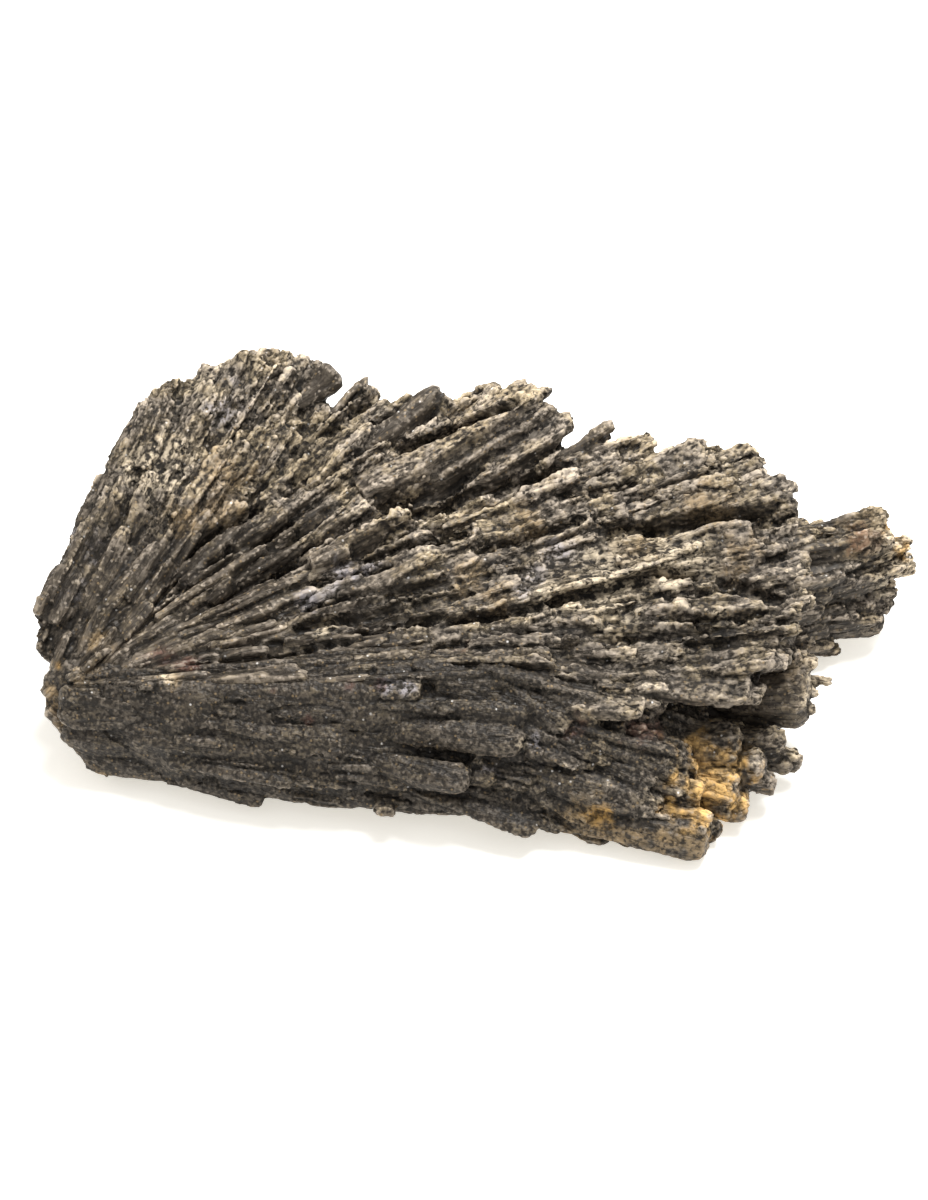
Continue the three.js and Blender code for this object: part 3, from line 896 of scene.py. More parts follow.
def open_gaps(piece, gaps):
    """Sinks deep gaps into the crown along lines given by heading and reach."""
    points, normals = points_of(piece), normals_of(piece)
    heading, reach = crown_place(points)
    sink = np.zeros(len(points))
    for first, near, last, far, width, depth in gaps:
        margin = GAP_MARGIN[0] + GAP_MARGIN[1] / near
        beside = (heading > min(first, last) - margin) & (heading < max(first, last) + margin)
        level = (reach > near - 1) & (reach < far + 1)
        close = np.flatnonzero(beside & level & (normals[:, 2] > GAP_OVERHANG))
        place = points[close]
        start = crown_point(first, near)
        ahead = crown_point(last, far) - start
        t = dot(place - start, ahead) / dot(ahead, ahead)
        off = place - start - np.clip(t, 0, 1)[:, None] * ahead
        off[:, 2] *= GAP_FLATNESS
        across = np.linalg.norm(off, axis=1) / (0.5 * width) + GAP_STRAY * even_noise("ragged gaps", place)
        ends = smoothstep(*GAP_START, t) * smoothstep(*GAP_END, t)
        sink[close] = np.maximum(sink[close], depth * ends * smoothstep(*GAP_EDGE, across))
    points[:, 2] -= sink
    move_points(piece, points)


def roughen(piece, name, table, bundle, skin):
    """Grooves, ribs, lumps, crumb, cracks and pits on a skin; notes its grain, its crumb, and each blade's
    own lightness with painted shade on the risers.
    """
    points, normals = points_of(piece), normals_of(piece)
    owner = numbers_of(piece.data.attributes["blade"].data, "value")
    on_blade = owner > 0
    grain = grain_places(points, owner, table, bundle)
    back = np.where(on_blade, -grain[:, 0], BARE_BACK)
    tipness = smoothstep(*TIP_ZONE, back + TIP_STRAY * even_noise("tips", points))
    riser = smoothstep(*RISER_SLOPES, normals[:, 2]) * bundle.get("risers", 1)
    crumb = np.clip(crumb_zone(name, points) * (0.6 + 0.6 * tipness) + 0.2 * tipness, 0, 1)
    crumb *= np.where(on_blade, table["crumb"][np.maximum(owner - 1, 0)], 1)
    crumb *= 1 - RISER_CRUMB * riser

    def on_crumb(kind):
        least, most = ON_CRUMB[kind]
        return least + (most - least) * crumb

    warp = WARP * bends(points / WARP_SIZE, WARP_SEED)
    height, apart = grain_blocks("large", grain, warp)
    small_height, small_apart = grain_blocks("small", grain, warp)
    pit_height, pit_apart = grain_blocks("pits", grain, warp)
    pits = smoothstep(*PIT_CELLS, pit_height) * smoothstep(*PIT_WALLS, pit_apart)
    pit_patches = smoothstep(*PIT_PATCHES, even_noise("pitted", points))
    buds = np.abs(rough_noise(points / BUD_SIZE + 0.3 * normals, 2, BUD_SEED)) * BUD_SCALE - BUD_LEVEL
    cracks = smoothstep(CRACK_WIDTH, 0.0, np.abs(grain_noise("cracks", grain)))
    grooves = grain_noise("grooves", grain) * bundle.get("grooves", 1)
    ribs = grain_noise("ribs", grain) * bundle.get("ribs", 1)
    grit = even_noise("grit", points) * bundle.get("grit", 1)

    move = skin.groove_depth / MM * grooves * on_crumb("grooves")
    move += skin.rib_height / MM * ribs
    move += skin.lump_height / MM * even_noise("lumps", points) * on_crumb("lumps")
    move += skin.block_height / MM * (height + SMALL_GRAINS * small_height) * on_crumb("grains")
    move += skin.grit_height / MM * grit * on_crumb("grit")
    move += skin.bud_height / MM * buds * on_crumb("buds")
    move -= skin.crack_depth / MM * cracks * on_crumb("cracks")
    move -= GRAIN_GAP * crumb * (smoothstep(*GRAIN_EDGE, apart) + smoothstep(*GRAIN_EDGE, small_apart))
    move -= skin.pit_depth / MM * pits * on_crumb("pits") * pit_patches
    off_floor = smoothstep(0.0, FLOOR_ZONE, points[:, 2])[:, None]
    bend = bends(points / BEND_SIZE, BEND_SEED)
    points = points + (normals * move[:, None] + bend * skin.bend / MM * BEND) * off_floor
    points[:, 2] = np.maximum(points[:, 2], 0)
    move_points(piece, points)
    note(piece, "grain", grain, "FLOAT_VECTOR")
    note(piece, "crumb", crumb)
    tone = lattice(np.stack([owner, owner, owner], axis=1), TONE_SEED)
    # Each blade's own random lightness, less painted shade on the risers, the steep faces that the light
    # from above misses.
    note(piece, "tone", np.where(on_blade, tone, 0) - RISER_PAINTED_SHADE * riser)


# Stains, and patches of painted shade and painted highlight: middle and radius of each patch.
STAINS_AND_PAINTED_LIGHT = {
    # Painted shade: patches of the blades' dark colour along the ridge and over parts of the fan and its
    # crest.
    "dark": [
        (-27, 1.5, 20.5, 8), (-34, 2, 20, 6), (-18, -3, 19, 8), (-8, -8, 18.5, 8), (3, -9, 19, 7),
        (14, -10, 18, 5), (-44, -2, 15, 5), (46, 10, 14, 5), (34, -7, 12, 5), (-17.6, 26.4, 31, 4),
        (-20, 25.6, 30.6, 4), (-24, 23, 29.6, 3.4), (-10, 21, 30, 2.4), (14, 17, 28, 3),
    ],
    "cream": [
        (-40, 13, 27, 5), (-32, 23, 30, 4.4), (-29, 26.4, 31, 3.4), (-38, 15, 27, 4), (17, -2, 22, 7),
        (9, -2, 20, 5), (26, 1, 23, 5), (-37.5, -12, 15, 1.2), (13.7, 6.5, 23, 2), (11.8, 4.4, 22, 2),
        (10, 2, 21.5, 2.2), (8, 0, 20.7, 2.2), (-1, -19, 13, 1.6), (6, -20, 12, 1.6), (31, -6, 20, 2),
        (55, 15, 15, 4), (55.4, 12, 12, 4), (55, 13, 9, 4), (54, 9, 10, 3), (44, -9, 8, 4),
        (29, -21.4, 6, 5), (52.5, 12, 16, 3), (53.5, 14, 13, 4), (44, -7, 10.5, 4), (43, -9, 5, 4),
        # The next two patches are painted highlights, where blades near the ridge catch the light; the
        # others are pale crust.
        (-18, 0, 19, 2.4), (-18, -5, 17, 1.6),
    ],
    "tan": [
        (-31, 14, 25, 4), (-31, 10, 23, 3), (-36, 8, 24, 3), (7, 7, 23, 3), (21, 2, 22, 4),
        (4, -3, 20, 3), (0, 0, 21, 3), (30, 8, 25, 4), (34, 2, 22, 4), (-46, -6, 15, 2),
        (-48, -10, 13, 2), (-37, -12, 15, 1.4), (50, 12, 16, 4), (41, -6, 10, 4), (14, -25, 4, 4),
        (-52, -11, 11, 1.8), (-51, -12, 10, 1.8), (-50, -12.6, 8, 1.8), (-48.8, -13.2, 6, 1.8),
        (-47.2, -14, 4, 1.8), (-45.8, -15.4, 2.6, 2), (20, -27, 3, 3.6), (24.6, -27.6, 3, 3.6),
        (28, -28, 3, 3.4),
    ],
    "ochre": [
        (29, -21.4, 6, 6.4), (28.4, -18.8, 6.6, 4.4), (27, -22.4, 4.2, 5.2), (31.4, -20, 6.6, 4.4),
        (16, -25, 5, 2.4), (22, -24.6, 5, 2.4), (24.6, -23.6, 4.6, 3), (-50.4, -12.4, 9, 1.1),
        (-48.8, -13.2, 6, 1.1), (-47.2, -14, 4, 1.1), (-51.2, -8, 13.6, 0.8), (53.4, 13.4, 16.2, 1.8),
        (54.8, 13, 13, 1.6), (54.6, 11, 14.4, 1.2),
    ],
    # Painted highlights: pale lilac-grey where blade faces and edges catch the light.
    "frost": [
        (-17.5, -0.2, 19.6, 2), (-20, -1.4, 18.4, 2), (-15.6, 1.4, 20, 2), (-13, 2.4, 20.4, 1.6),
        (8, 0, 20.7, 2.4), (6.7, -2.1, 20.3, 2), (11, 3, 22, 2.4), (-10, -14.8, 16.2, 1.4),
        (-8, -15, 16.4, 1.4), (-51, -2, 13, 3), (-50, 2, 17, 3), (-48, 6, 20, 3), (-30, 24, 31, 2.2),
        (-31, 20, 30, 3), (2, -22, 8.6, 1.4), (8, -20, 12, 1.4),
    ],
    "rust": [
        (-37.5, -8, 15, 2.2), (-35, -9, 15, 1.8), (-11, -15, 17, 0.9), (-15, -15, 17, 1),
        (-24, -15, 16, 0.9), (21, -18, 12, 3), (13, -18, 13, 2), (50, 11, 17, 2.8), (5, -9, 18, 1.4),
        (-1, -9, 18, 1.4), (-30, -15, 13, 1), (-26, -16, 12, 1), (-20, -17, 13, 1), (-38, -13, 13, 1),
    ],
}
# How many rounds of averaging a skin is compared with, and how far out of that a full edge or ridge stands.
RELIEF_STEPS = {"edge": (1, 0.08), "relief": (24, 0.4)}
PATCH_EDGE, PATCH_STRAY = (1.05, 0.3), 0.9  # from its edge to where it is full, in radii, and its stray


def weather(piece):
    """Notes the hollows and ridges of a finished skin, from which its material paints shade and highlight,
    and its stains and patches of painted shade and highlight.
    """
    points, normals = points_of(piece), normals_of(piece)
    for name, (rounds, full) in RELIEF_STEPS.items():
        height = dot(points - neighbours_mean(piece, points, rounds), normals)
        note(piece, name, np.clip(height / full, -1, 1))
    ragged = PATCH_STRAY * even_noise("ragged patches", points)
    for patch_kind, spots in STAINS_AND_PAINTED_LIGHT.items():
        cover = np.zeros(len(points))
        for x, y, z, radius in spots:
            distance = np.linalg.norm(points - np.array([x, y, z]), axis=1) / radius
            cover = np.maximum(cover, smoothstep(*PATCH_EDGE, distance + ragged))
        note(piece, patch_kind, cover)


# ---- Materials ----


class Nodes:
    """Builds a node tree. Each method adds nodes of one kind and gives their output."""

    def __init__(self, tree):
        self.tree = tree
        tree.nodes.clear()

    def put(self, kind, inputs=None, **settings):
        """Adds a node, sets its options, and sets or links its inputs."""
        node = self.tree.nodes.new(kind)
        for key, value in settings.items():
            setattr(node, key, value)
        for key, value in (inputs or {}).items():
            if isinstance(value, bpy.types.NodeSocket):
                self.tree.links.new(value, node.inputs[key])
            else:
                node.inputs[key].default_value = value
        return node

    def noted(self, attribute, output="Fac"):
        return self.put("ShaderNodeAttribute", attribute_name=attribute).outputs[output]

    def calc(self, operation, a, b=0.0, c=0.0):
        return self.put("ShaderNodeMath", {0: a, 1: b, 2: c}, operation=operation).outputs[0]

    def times(self, a, b, plus=None):
        """a * b, or a * b + plus."""
        return self.calc("MULTIPLY", a, b) if plus is None else self.calc("MULTIPLY_ADD", a, b, plus)

    def scaled(self, places, scale):
        return self.put("ShaderNodeVectorMath", {0: places, 1: scale}, operation="MULTIPLY").outputs[0]

    def fade(self, value, low, high, start=0.0, end=1.0):
        """A value mapped smoothly from low..high to start..end."""
        inputs = {0: value, 1: low, 2: high, 3: start, 4: end}
        return self.put("ShaderNodeMapRange", inputs, interpolation_type="SMOOTHSTEP").outputs[0]

    def blend(self, share, a, b, mode="MIX"):
        """Colour a with a share of colour b."""
        inputs = {0: share, 6: a, 7: b}
        return self.put("ShaderNodeMix", inputs, data_type="RGBA", blend_type=mode).outputs[2]

    def speckle(self, places, along, across, detail, roughness):
        """Noise from 0 to 1 on places in millimetres, by its lumps a millimetre along and across."""
        inputs = {"Vector": self.scaled(places, (along, across, across)), "Scale": 1.0}
        inputs.update({"Detail": detail, "Roughness": roughness})
        return self.put("ShaderNodeTexNoise", inputs).outputs[0]

    def chips(self, places, scale):
        """Angular chips: each one's own number from 0 to 1, and the distance from its middle."""
        node = self.put("ShaderNodeTexVoronoi", {"Vector": self.scaled(places, (scale,) * 3), "Scale": 1.0})
        number = self.put("ShaderNodeSeparateColor", {0: node.outputs["Color"]}).outputs[0]
        return number, node.outputs["Distance"]


# Noise in the stone: what it lies on, lumps a millimetre along and across, detail and roughness.
SPECKLES = {
    "streak": ("grain", 0.25, 2.0, 3, 0.6),
    "long streak": ("grain", 0.3, 1.6, 2, 0.5),
    "line": ("grain", 0.12, 0.8, 2, 0.5),
    "coarse": ("grain", 0.35, 0.6, 3, 0.55),
    "sand along grain": ("grain", 1.0, 1.5, 2, 0.5),
    "sand": ("place", 1.9, 1.9, 2, 0.5),
    "patch": ("place", 0.2, 0.2, 3, 0.6),
}
CHIPS, SPARKS = 2.3, 2.2  # angular chips a millimetre
# Where each pattern, painted edge highlight and painted glint sets in, from none of it to all. Two more
# numbers say how strong none and all of it are, where that isn't 0 and 1.
SETS_IN = {
    "sand": (0.1, 0.5),
    "light blades": (0.38, 0.64),
    "tan crumb": (0.42, 0.6),
    "pale crumb": (0.1, 0.7, 0.45, 1.0),
    "crumb": (0.47, 0.73),
    "crust": (0.68, 0.82, 0, 0.8),
    "painted edge highlight": (1.3, 1.8, 0, 0.52),
    "pit": (0.47, 0.31, 0, 0.7),
    "crack": (0.03, 0.0, 0, 0.45),
    "glint": (1.018, 1.022),
    "glint spread": (0.45, 0.15, 0, 0.6),
    "bright chip": (0.86, 0.9),
    "bright spread": (0.55, 0.25, 0, 0.55),
    "fleck spread": (0.5, 0.2, 0, 0.6),
    "dull crumb": (0.1, 0.6, 0.68, 0.85),
}
# How strong each of the stains and of the patches of painted shade and highlight is where the speck is low,
# and where it is high. A later one covers an earlier one.
STAIN_AND_LIGHT_STRENGTHS = {
    "dark": (0.75, 0.55),
    "tan": (0.15, 0.7),
    "cream": (0.0, 0.85),
    "ochre": (0.45, 0.85),
    "frost": (0.0, 0.8),
    "rust": (0.2, 0.65),
}
PATCH_SPECK = (0.42, 0.56)  # a low speck and a high one
BUMP = 0.3  # height of the finest grain


def stone(name, colours, dark_tint, crumb_tint, sandy):
    """Black kyanite: dark streaked blades, pale crumb, flecks and stains, with painted shade in the hollows
    and painted highlights on the edges and ridges.
    """
    material = bpy.data.materials.new(name)
    material.use_nodes = True
    nodes = Nodes(material.node_tree)
    noted, calc, times, blend = nodes.noted, nodes.calc, nodes.times, nodes.blend
    place = nodes.scaled(nodes.put("ShaderNodeTexCoord").outputs["Object"], (1 / MM,) * 3)
    places = {"grain": noted("grain", "Vector"), "place": place}

    def speckle(kind):
        return nodes.speckle(places[SPECKLES[kind][0]], *SPECKLES[kind][1:])

    def sets_in(kind, value):
        return nodes.fade(value, *SETS_IN[kind])

    def paint(colour, tint=1.0):
        return tuple(channel * tint for channel in colour) + (1.0,)

    light, grey = paint(colours.blade_light, dark_tint), paint(colours.crumb_grey, crumb_tint)
    crumb, relief, tone, edge = noted("crumb"), noted("relief"), noted("tone"), noted("edge")
    streak, long_streak, line = speckle("streak"), speckle("long streak"), speckle("line")
    coarse, patch = speckle("coarse"), speckle("patch")
    sand = speckle("sand" if sandy == 1 else "sand along grain")
    chip, chip_spread = nodes.chips(place, CHIPS)
    spark, spark_spread = nodes.chips(place, SPARKS)

    # Matrix: streaks, or sand, between two dark browns.
    grainy = nodes.fade(crumb, *SETS_IN["sand"], sandy, 1.0)
    fine = times(grainy, calc("SUBTRACT", sand, long_streak), long_streak)
    thin = times(grainy, calc("SUBTRACT", sand, streak), streak)
    thin = times(calc("SUBTRACT", coarse, 0.5), 0.1 + 0.4 * sandy, thin)
    matrix = blend(sets_in("light blades", thin), paint(colours.blade_dark, dark_tint), light)
    # Speck: high on pale grains of crumb and low in the pits between them, and a little higher on edges and
    # ridges as a painted highlight.
    speck = times(fine, 0.56)
    for part, strength in ((coarse, 0.28), (chip, 0.16), (edge, 0.03), (relief, 0.035)):
        speck = times(part, strength, speck)
    level = times(tone, 0.02, times(crumb, 0.12, speck))
    pale = blend(sets_in("tan crumb", patch), grey, paint(colours.crumb_tan, crumb_tint))
    pale = blend(sets_in("pale crumb", crumb), light, pale)
    colour = blend(sets_in("crumb", level), matrix, pale)
    colour = blend(sets_in("crust", level), colour, paint(colours.cream))
    # Stains.
    # Stains, and patches of painted shade and painted highlight.
    for patch_kind, (low, high) in STAIN_AND_LIGHT_STRENGTHS.items():
        tint = colours.blade_dark if patch_kind == "dark" else getattr(colours, patch_kind)
        cover = times(noted(patch_kind), nodes.fade(speck, *PATCH_SPECK, low, high))
        colour = blend(cover, colour, paint(tint))
    # Painted highlights on edges, pits, cracks, painted glints, bright chips and brown flecks.
    crack = sets_in("crack", calc("ABSOLUTE", calc("SUBTRACT", line, 0.5)))
    # Painted glints: tiny points of reflected light, painted in the spark colour.
    glint = times(sets_in("glint", times(patch, 0.06, spark)), sets_in("glint spread", spark_spread))
    bright = times(sets_in("bright chip", chip), sets_in("bright spread", chip_spread))
    fleck = times(calc("COMPARE", spark, 0.9, 0.04), sets_in("fleck spread", spark_spread))
    for cover, tint in (
            (sets_in("painted edge highlight", times(speck, 1.6, edge)), grey),
            (sets_in("pit", speck), paint(colours.crumb_pit)),
            (crack, paint(colours.crumb_pit)),
            (glint, paint(colours.spark)),
            (bright, grey),
            (fleck, paint(colours.tan, 0.8))):
        colour = blend(cover, colour, tint)
    # Painted shade in the hollows and painted highlight on the ridges, with each blade's own lightness and
    # the painted shade on its risers.
    depth = nodes.put("ShaderNodeMapRange", {0: relief, 1: -0.8, 2: 0.8, 3: 0.36, 4: 1.32}).outputs[0]
    shade = times(depth, times(tone, 0.15, 1.0))
    shade = nodes.put("ShaderNodeCombineColor", {0: shade, 1: shade, 2: shade}).outputs[0]
    colour = blend(1.0, colour, shade, "MULTIPLY")

    height = times(crack, -0.4, times(thin, 0.4, speck))
    bump = nodes.put("ShaderNodeBump", {"Strength": 1.0, "Distance": BUMP * MM, "Height": height})
    gloss = times(sand, -0.3, sets_in("dull crumb", crumb))
    shader = nodes.put("ShaderNodeBsdfPrincipled", {
        "Base Color": colour, "Roughness": gloss, "Normal": bump.outputs[0], "Specular IOR Level": 0.22})
    nodes.put("ShaderNodeOutputMaterial", {"Surface": shader.outputs[0]})
    return material


# ---- Settings ----


def length_setting(name, description, value):
    return bpy.props.FloatProperty(
        name=name, description=description, default=value * MM, min=0, precision=5, unit="LENGTH",
        subtype="DISTANCE")


def number_setting(name, description, value, **kind):
    return bpy.props.FloatProperty(name=name, description=description, default=value, min=0, **kind)


def colour_setting(name, description, value):
    return bpy.props.FloatVectorProperty(
        name=name, description=description, default=value, min=0, max=1, size=3, subtype="COLOR")


class KyaniteSkin(bpy.types.PropertyGroup):
    """Sizes of the fine surface."""

    voxel: length_setting("Voxel", "Size of the skin's faces before they are thinned out", 0.3)
    core_voxel: length_setting("Core voxel", "Size of the faces under the blades", 0.5)
    wear: length_setting("Wear", "How far the solid is worn back under its blades", 0.6)
    groove_depth: length_setting("Groove depth", "Depth of the grooves along the grain", 0.14)
    rib_height: length_setting("Rib height", "Height of the broad ribs along the grain", 0.3)
    lump_height: length_setting("Lump height", "Height of the broad lumps", 0.26)
    bend: length_setting("Bend", "How far blades wander off their straight lines", 0.4)
    block_height: length_setting("Block height", "Height of the angular grains of crumb", 0.15)
    grit_height: length_setting("Grit height", "Height of the finest grains", 0.16)
    pit_depth: length_setting("Pit depth", "Depth of the pits of the honeycombed crumb", 0.4)
    bud_height: length_setting("Bud height", "Height of the rounded buds in the crumb", 0.06)
    crack_depth: length_setting("Crack depth", "Depth of the thin cracks along the grain", 0.3)


class KyaniteColours(bpy.types.PropertyGroup):
    """Colours of the stone and its stains."""

    blade_dark: colour_setting("Blade, dark", "Darker streaks of a blade", (0.03, 0.0235, 0.017))
    blade_light: colour_setting("Blade, light", "Lighter streaks of a blade", (0.094, 0.075, 0.055))
    crumb_pit: colour_setting("Crumb, pits", "Between the grains of crumb", (0.016, 0.013, 0.01))
    crumb_grey: colour_setting("Crumb, grey", "Grains of greyish crumb", (0.32, 0.268, 0.212))
    crumb_tan: colour_setting("Crumb, tan", "Grains of tan crumb", (0.35, 0.275, 0.172))
    # Pale crust and flecks, and also two painted highlights near the ridge.
    cream: colour_setting("Cream", "Pale flecks and crust", (0.58, 0.48, 0.34))
    tan: colour_setting("Tan", "Brownish crust", (0.3, 0.21, 0.11))
    ochre: colour_setting("Ochre", "Yellow-brown stains", (0.62, 0.36, 0.1))
    # Sparks are painted glints, points of reflected light.
    spark: colour_setting("Sparks", "Tiny bright flecks", (0.75, 0.72, 0.68))
    # Painted highlight: the pale lilac-grey of blade faces that catch the light.
    frost: colour_setting("Frost", "Pale lilac-grey faces", (0.38, 0.35, 0.36))
    rust: colour_setting("Rust", "Red-brown stains", (0.1, 0.04, 0.028))


class KyaniteStage(bpy.types.PropertyGroup):
    """The floor, the light and the camera."""

    floor: colour_setting("Floor", "Colour of the floor", (0.93, 0.93, 0.925))
    floor_tint: colour_setting("Floor tint", "Colour of the light that the floor gives", (1, 0.95, 0.84))
    floor_glow: number_setting("Floor glow", "Strength of the light that the floor gives", 0.56)
    sky: number_setting("Sky", "Strength of the light all round", 0.62)
    lamp_power: number_setting("Lamp power", "Power of the lamp above", 12.0, unit="POWER")
    lamp_size: length_setting("Lamp size", "Side of the lamp above", 350)
    camera_rise: number_setting(
        "Camera rise", "Angle that the camera looks down by", math.radians(45), unit="ROTATION",
        subtype="ANGLE")
    camera_distance: length_setting("Camera distance", "From the camera to the fan's middle", 600)
    lens: number_setting("Lens", "Focal length", 144, unit="CAMERA")


# ---- Growing a bundle ----

# Shapes to draw from, and planes that keep layers of blades to a part of their bundle.
LATHS = ["lath", "lath", "chisel", "step"]
CRUMBLY = ["knuckle", "knuckle", "rod", "chisel", "step", "plate"]
PLATES = ["plate", "plate", "step", "chisel"]
RODS = ["rod", "rod", "knuckle", "lath"]
STUBS = ["knuckle", "rod", "step"]
RIGHT_OF_MIDDLE = [((-2, 0, 0), (-1, 0, 0))]
UP_THE_SLAB = [((-44, 4, 19), (-1, -1.6, -0.85))]


def grow(context, blades, dark_tint=1.0, crumb_tint=1.0, sandy=0.15, gaps=None):
    """Grows a bundle's blades and its share of the solid into one skin, roughens it and gives it its stone.

    The tints are for its dark and its pale stone, `sandy` is how much of the dark stone's pattern is sand
    and not streaks, and `gaps` are the headings that its small gaps lie between."""
    skin, name, bundle = context.scene.kyanite_skin, blades.name, blades.bundle
    blades.place(LONE_BLADES.get(name, []))
    table = blades.table()
    wear = skin.wear / MM * bundle.get("wear", 1)
    piece = share_of_solid(name, bundle["planes"], skin.core_voxel / MM, wear, bundle.get("rounding", 2))
    note(piece, "blade", np.zeros(len(piece.data.vertices)), "INT")
    laid = lay_blades(name + "_blades", table)
    only(piece)
    laid.select_set(True)
    bpy.ops.object.join()
    grow_together(piece, skin.voxel / MM)
    if gaps:
        open_gaps(piece, GAPS + small_gaps(name, gaps))
        grow_together(piece, skin.voxel / MM)
    piece = drop_islands(piece)
    if not len(piece.data.polygons):
        raise RuntimeError(f"{name} came out empty")
    roughen(piece, name, table, bundle, skin)
    triangles = 2 * len(piece.data.polygons)
    if triangles > bundle["triangles"]:
        finish_with(piece, "DECIMATE", ratio=bundle["triangles"] / triangles)
    weather(piece)
    piece.data.attributes.remove(piece.data.attributes["blade"])
    piece.data.materials.clear()
    piece.data.materials.append(stone(name, context.scene.kyanite_colours, dark_tint, crumb_tint, sandy))
    only(piece)
    bpy.ops.object.shade_smooth()
    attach(piece, "root")
    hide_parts(SOLID)
    return {"FINISHED"}


class GrowLeftSlab(bpy.types.Operator):
    """Grow the slab of near-parallel plates on the left"""

    bl_idname = "kyanite.left_slab"
    bl_label = "Left Slab"
    bl_options = {"REGISTER", "UNDO"}

    def execute(self, context):
        blades = Blades("left_slab", seed=101)
        strew(blades, 5, long=(12, 28), wide=(1.4, 3.2), deep=(0.9, 1.3), high=(-0.3, 0.4), kinds=LATHS)
        strew(blades, 16, long=(5, 10), wide=(1.6, 4.0), deep=(1.0, 1.7), high=(0.0, 0.9), kinds=CRUMBLY)
        strew(blades, 14, long=(6, 12), wide=(2.4, 4.6), deep=(1.6, 2.4), high=(0.3, 1.4), kinds=PLATES,
              within=UP_THE_SLAB)
        return grow(context, blades, dark_tint=0.93, crumb_tint=0.96)


class GrowFanHigh(bpy.types.Operator):
    """Grow the upper third of the fan, next to the left slab"""

    bl_idname = "kyanite.fan_high"
    bl_label = "Fan, High"
    bl_options = {"REGISTER", "UNDO"}

    def execute(self, context):
        blades = Blades("fan_high", seed=102)
        crown = (30, 59)
        strew(blades, 8, long=(8, 22), wide=(1.6, 4.5), deep=(0.8, 1.4), high=(-0.2, 0.5),
              kinds=LATHS, top=0.2)
        shingle(blades, crown, (0.1, 0.66), 6, long=(14, 28), wide=(1.6, 3.2), deep=(1.4, 2.2),
                high=(0.2, 1.5), kinds=LATHS, lean=-38)
        shingle(blades, crown, (0.5, 1.0), 5, long=(7, 14), wide=(2.2, 5), deep=(1.8, 2.8),
                high=(0.3, 2.0), kinds=PLATES, lean=-26)
        shingle(blades, crown, (0.6, 1.0), 7, long=(6, 12), wide=(1.8, 4), deep=(1.6, 2.6),
                high=(0.0, 1.5), kinds=CRUMBLY, lean=-22)
        return grow(context, blades, dark_tint=0.8, crumb_tint=0.94, gaps=(33, 58))


class GrowFanMiddle(bpy.types.Operator):
    """Grow the middle of the fan"""

    bl_idname = "kyanite.fan_middle"
    bl_label = "Fan, Middle"
    bl_options = {"REGISTER", "UNDO"}

    def execute(self, context):
        blades = Blades("fan_middle", seed=103)
        crown = (15, 34)
        strew(blades, 8, long=(8, 22), wide=(1.6, 4.5), deep=(0.8, 1.4), high=(-0.2, 0.5),
              kinds=LATHS, top=0.2)
        shingle(blades, crown, (0.08, 0.62), 6.5, long=(16, 32), wide=(1.6, 3.2), deep=(1.4, 2.2),
                high=(0.2, 1.5), kinds=LATHS, lean=-38)
        shingle(blades, crown, (0.45, 1.0), 4.8, long=(7, 16), wide=(1.8, 5.0), deep=(1.6, 2.6),
                high=(0.0, 1.7), kinds=CRUMBLY, lean=-22)
        return grow(context, blades, dark_tint=1.15, crumb_tint=1.1, gaps=(18, 33))


class GrowRightBlock(bpy.types.Operator):
    """Grow the crumbly right-hand block, shingled with broad plates"""

    bl_idname = "kyanite.right_block"
    bl_label = "Right Block"
    bl_options = {"REGISTER", "UNDO"}

    def execute(self, context):
        blades = Blades("right_block", seed=104)
        strew(blades, 8, long=(8, 20), wide=(1.6, 4.5), deep=(0.8, 1.5), high=(-0.1, 0.6),
              kinds=CRUMBLY, top=0.3)
        shingle(blades, (-4, 19), (0.08, 0.5), 8, long=(16, 32), wide=(1.6, 3.2), deep=(1.2, 1.8),
                high=(0.1, 1.3), kinds=LATHS, lean=-34)
        shingle(blades, (4, 19), (0.45, 1.0), 7, long=(16, 28), wide=(4, 8), deep=(1.8, 2.4),
                high=(0.4, 1.6), kinds=PLATES, lean=-10)
        shingle(blades, (-4, 8), (0.4, 1.0), 9, long=(10, 20), wide=(4, 7), deep=(1.6, 2.4),
                high=(0.0, 1.0), kinds=PLATES, lean=-12)
        return grow(context, blades, crumb_tint=0.8, gaps=(-2, 18))


class GrowFrontSheet(bpy.types.Operator):
    """Grow the compact dark sheet in front, below the ridge"""

    bl_idname = "kyanite.front_sheet"
    bl_label = "Front Sheet"
    bl_options = {"REGISTER", "UNDO"}

    def execute(self, context):
        blades = Blades("front_sheet", seed=105)
        strew(blades, 24, long=(12, 26), wide=(1.6, 3.4), deep=(0.8, 1.4), high=(-0.3, 0.3), kinds=RODS)
        strew(blades, 7, long=(8, 20), wide=(1.8, 4.2), deep=(1.2, 2.0), high=(0.0, 0.7), kinds=RODS,
              within=RIGHT_OF_MIDDLE)
        return grow(context, blades, dark_tint=0.62, crumb_tint=0.56, sandy=1.0)


class GrowTailSheaf(bpy.types.Operator):
    """Grow the shorter sheaf that stands out past the right end"""

    bl_idname = "kyanite.tail_sheaf"
    bl_label = "Tail Sheaf"
    bl_options = {"REGISTER", "UNDO"}

    def execute(self, context):
        blades = Blades("tail_sheaf", seed=106)
        strew(blades, 7, long=(6, 16), wide=(1.8, 4.2), deep=(1.0, 1.5), high=(-0.2, 0.4), kinds=RODS)
        return grow(context, blades, dark_tint=1.12, crumb_tint=1.25)


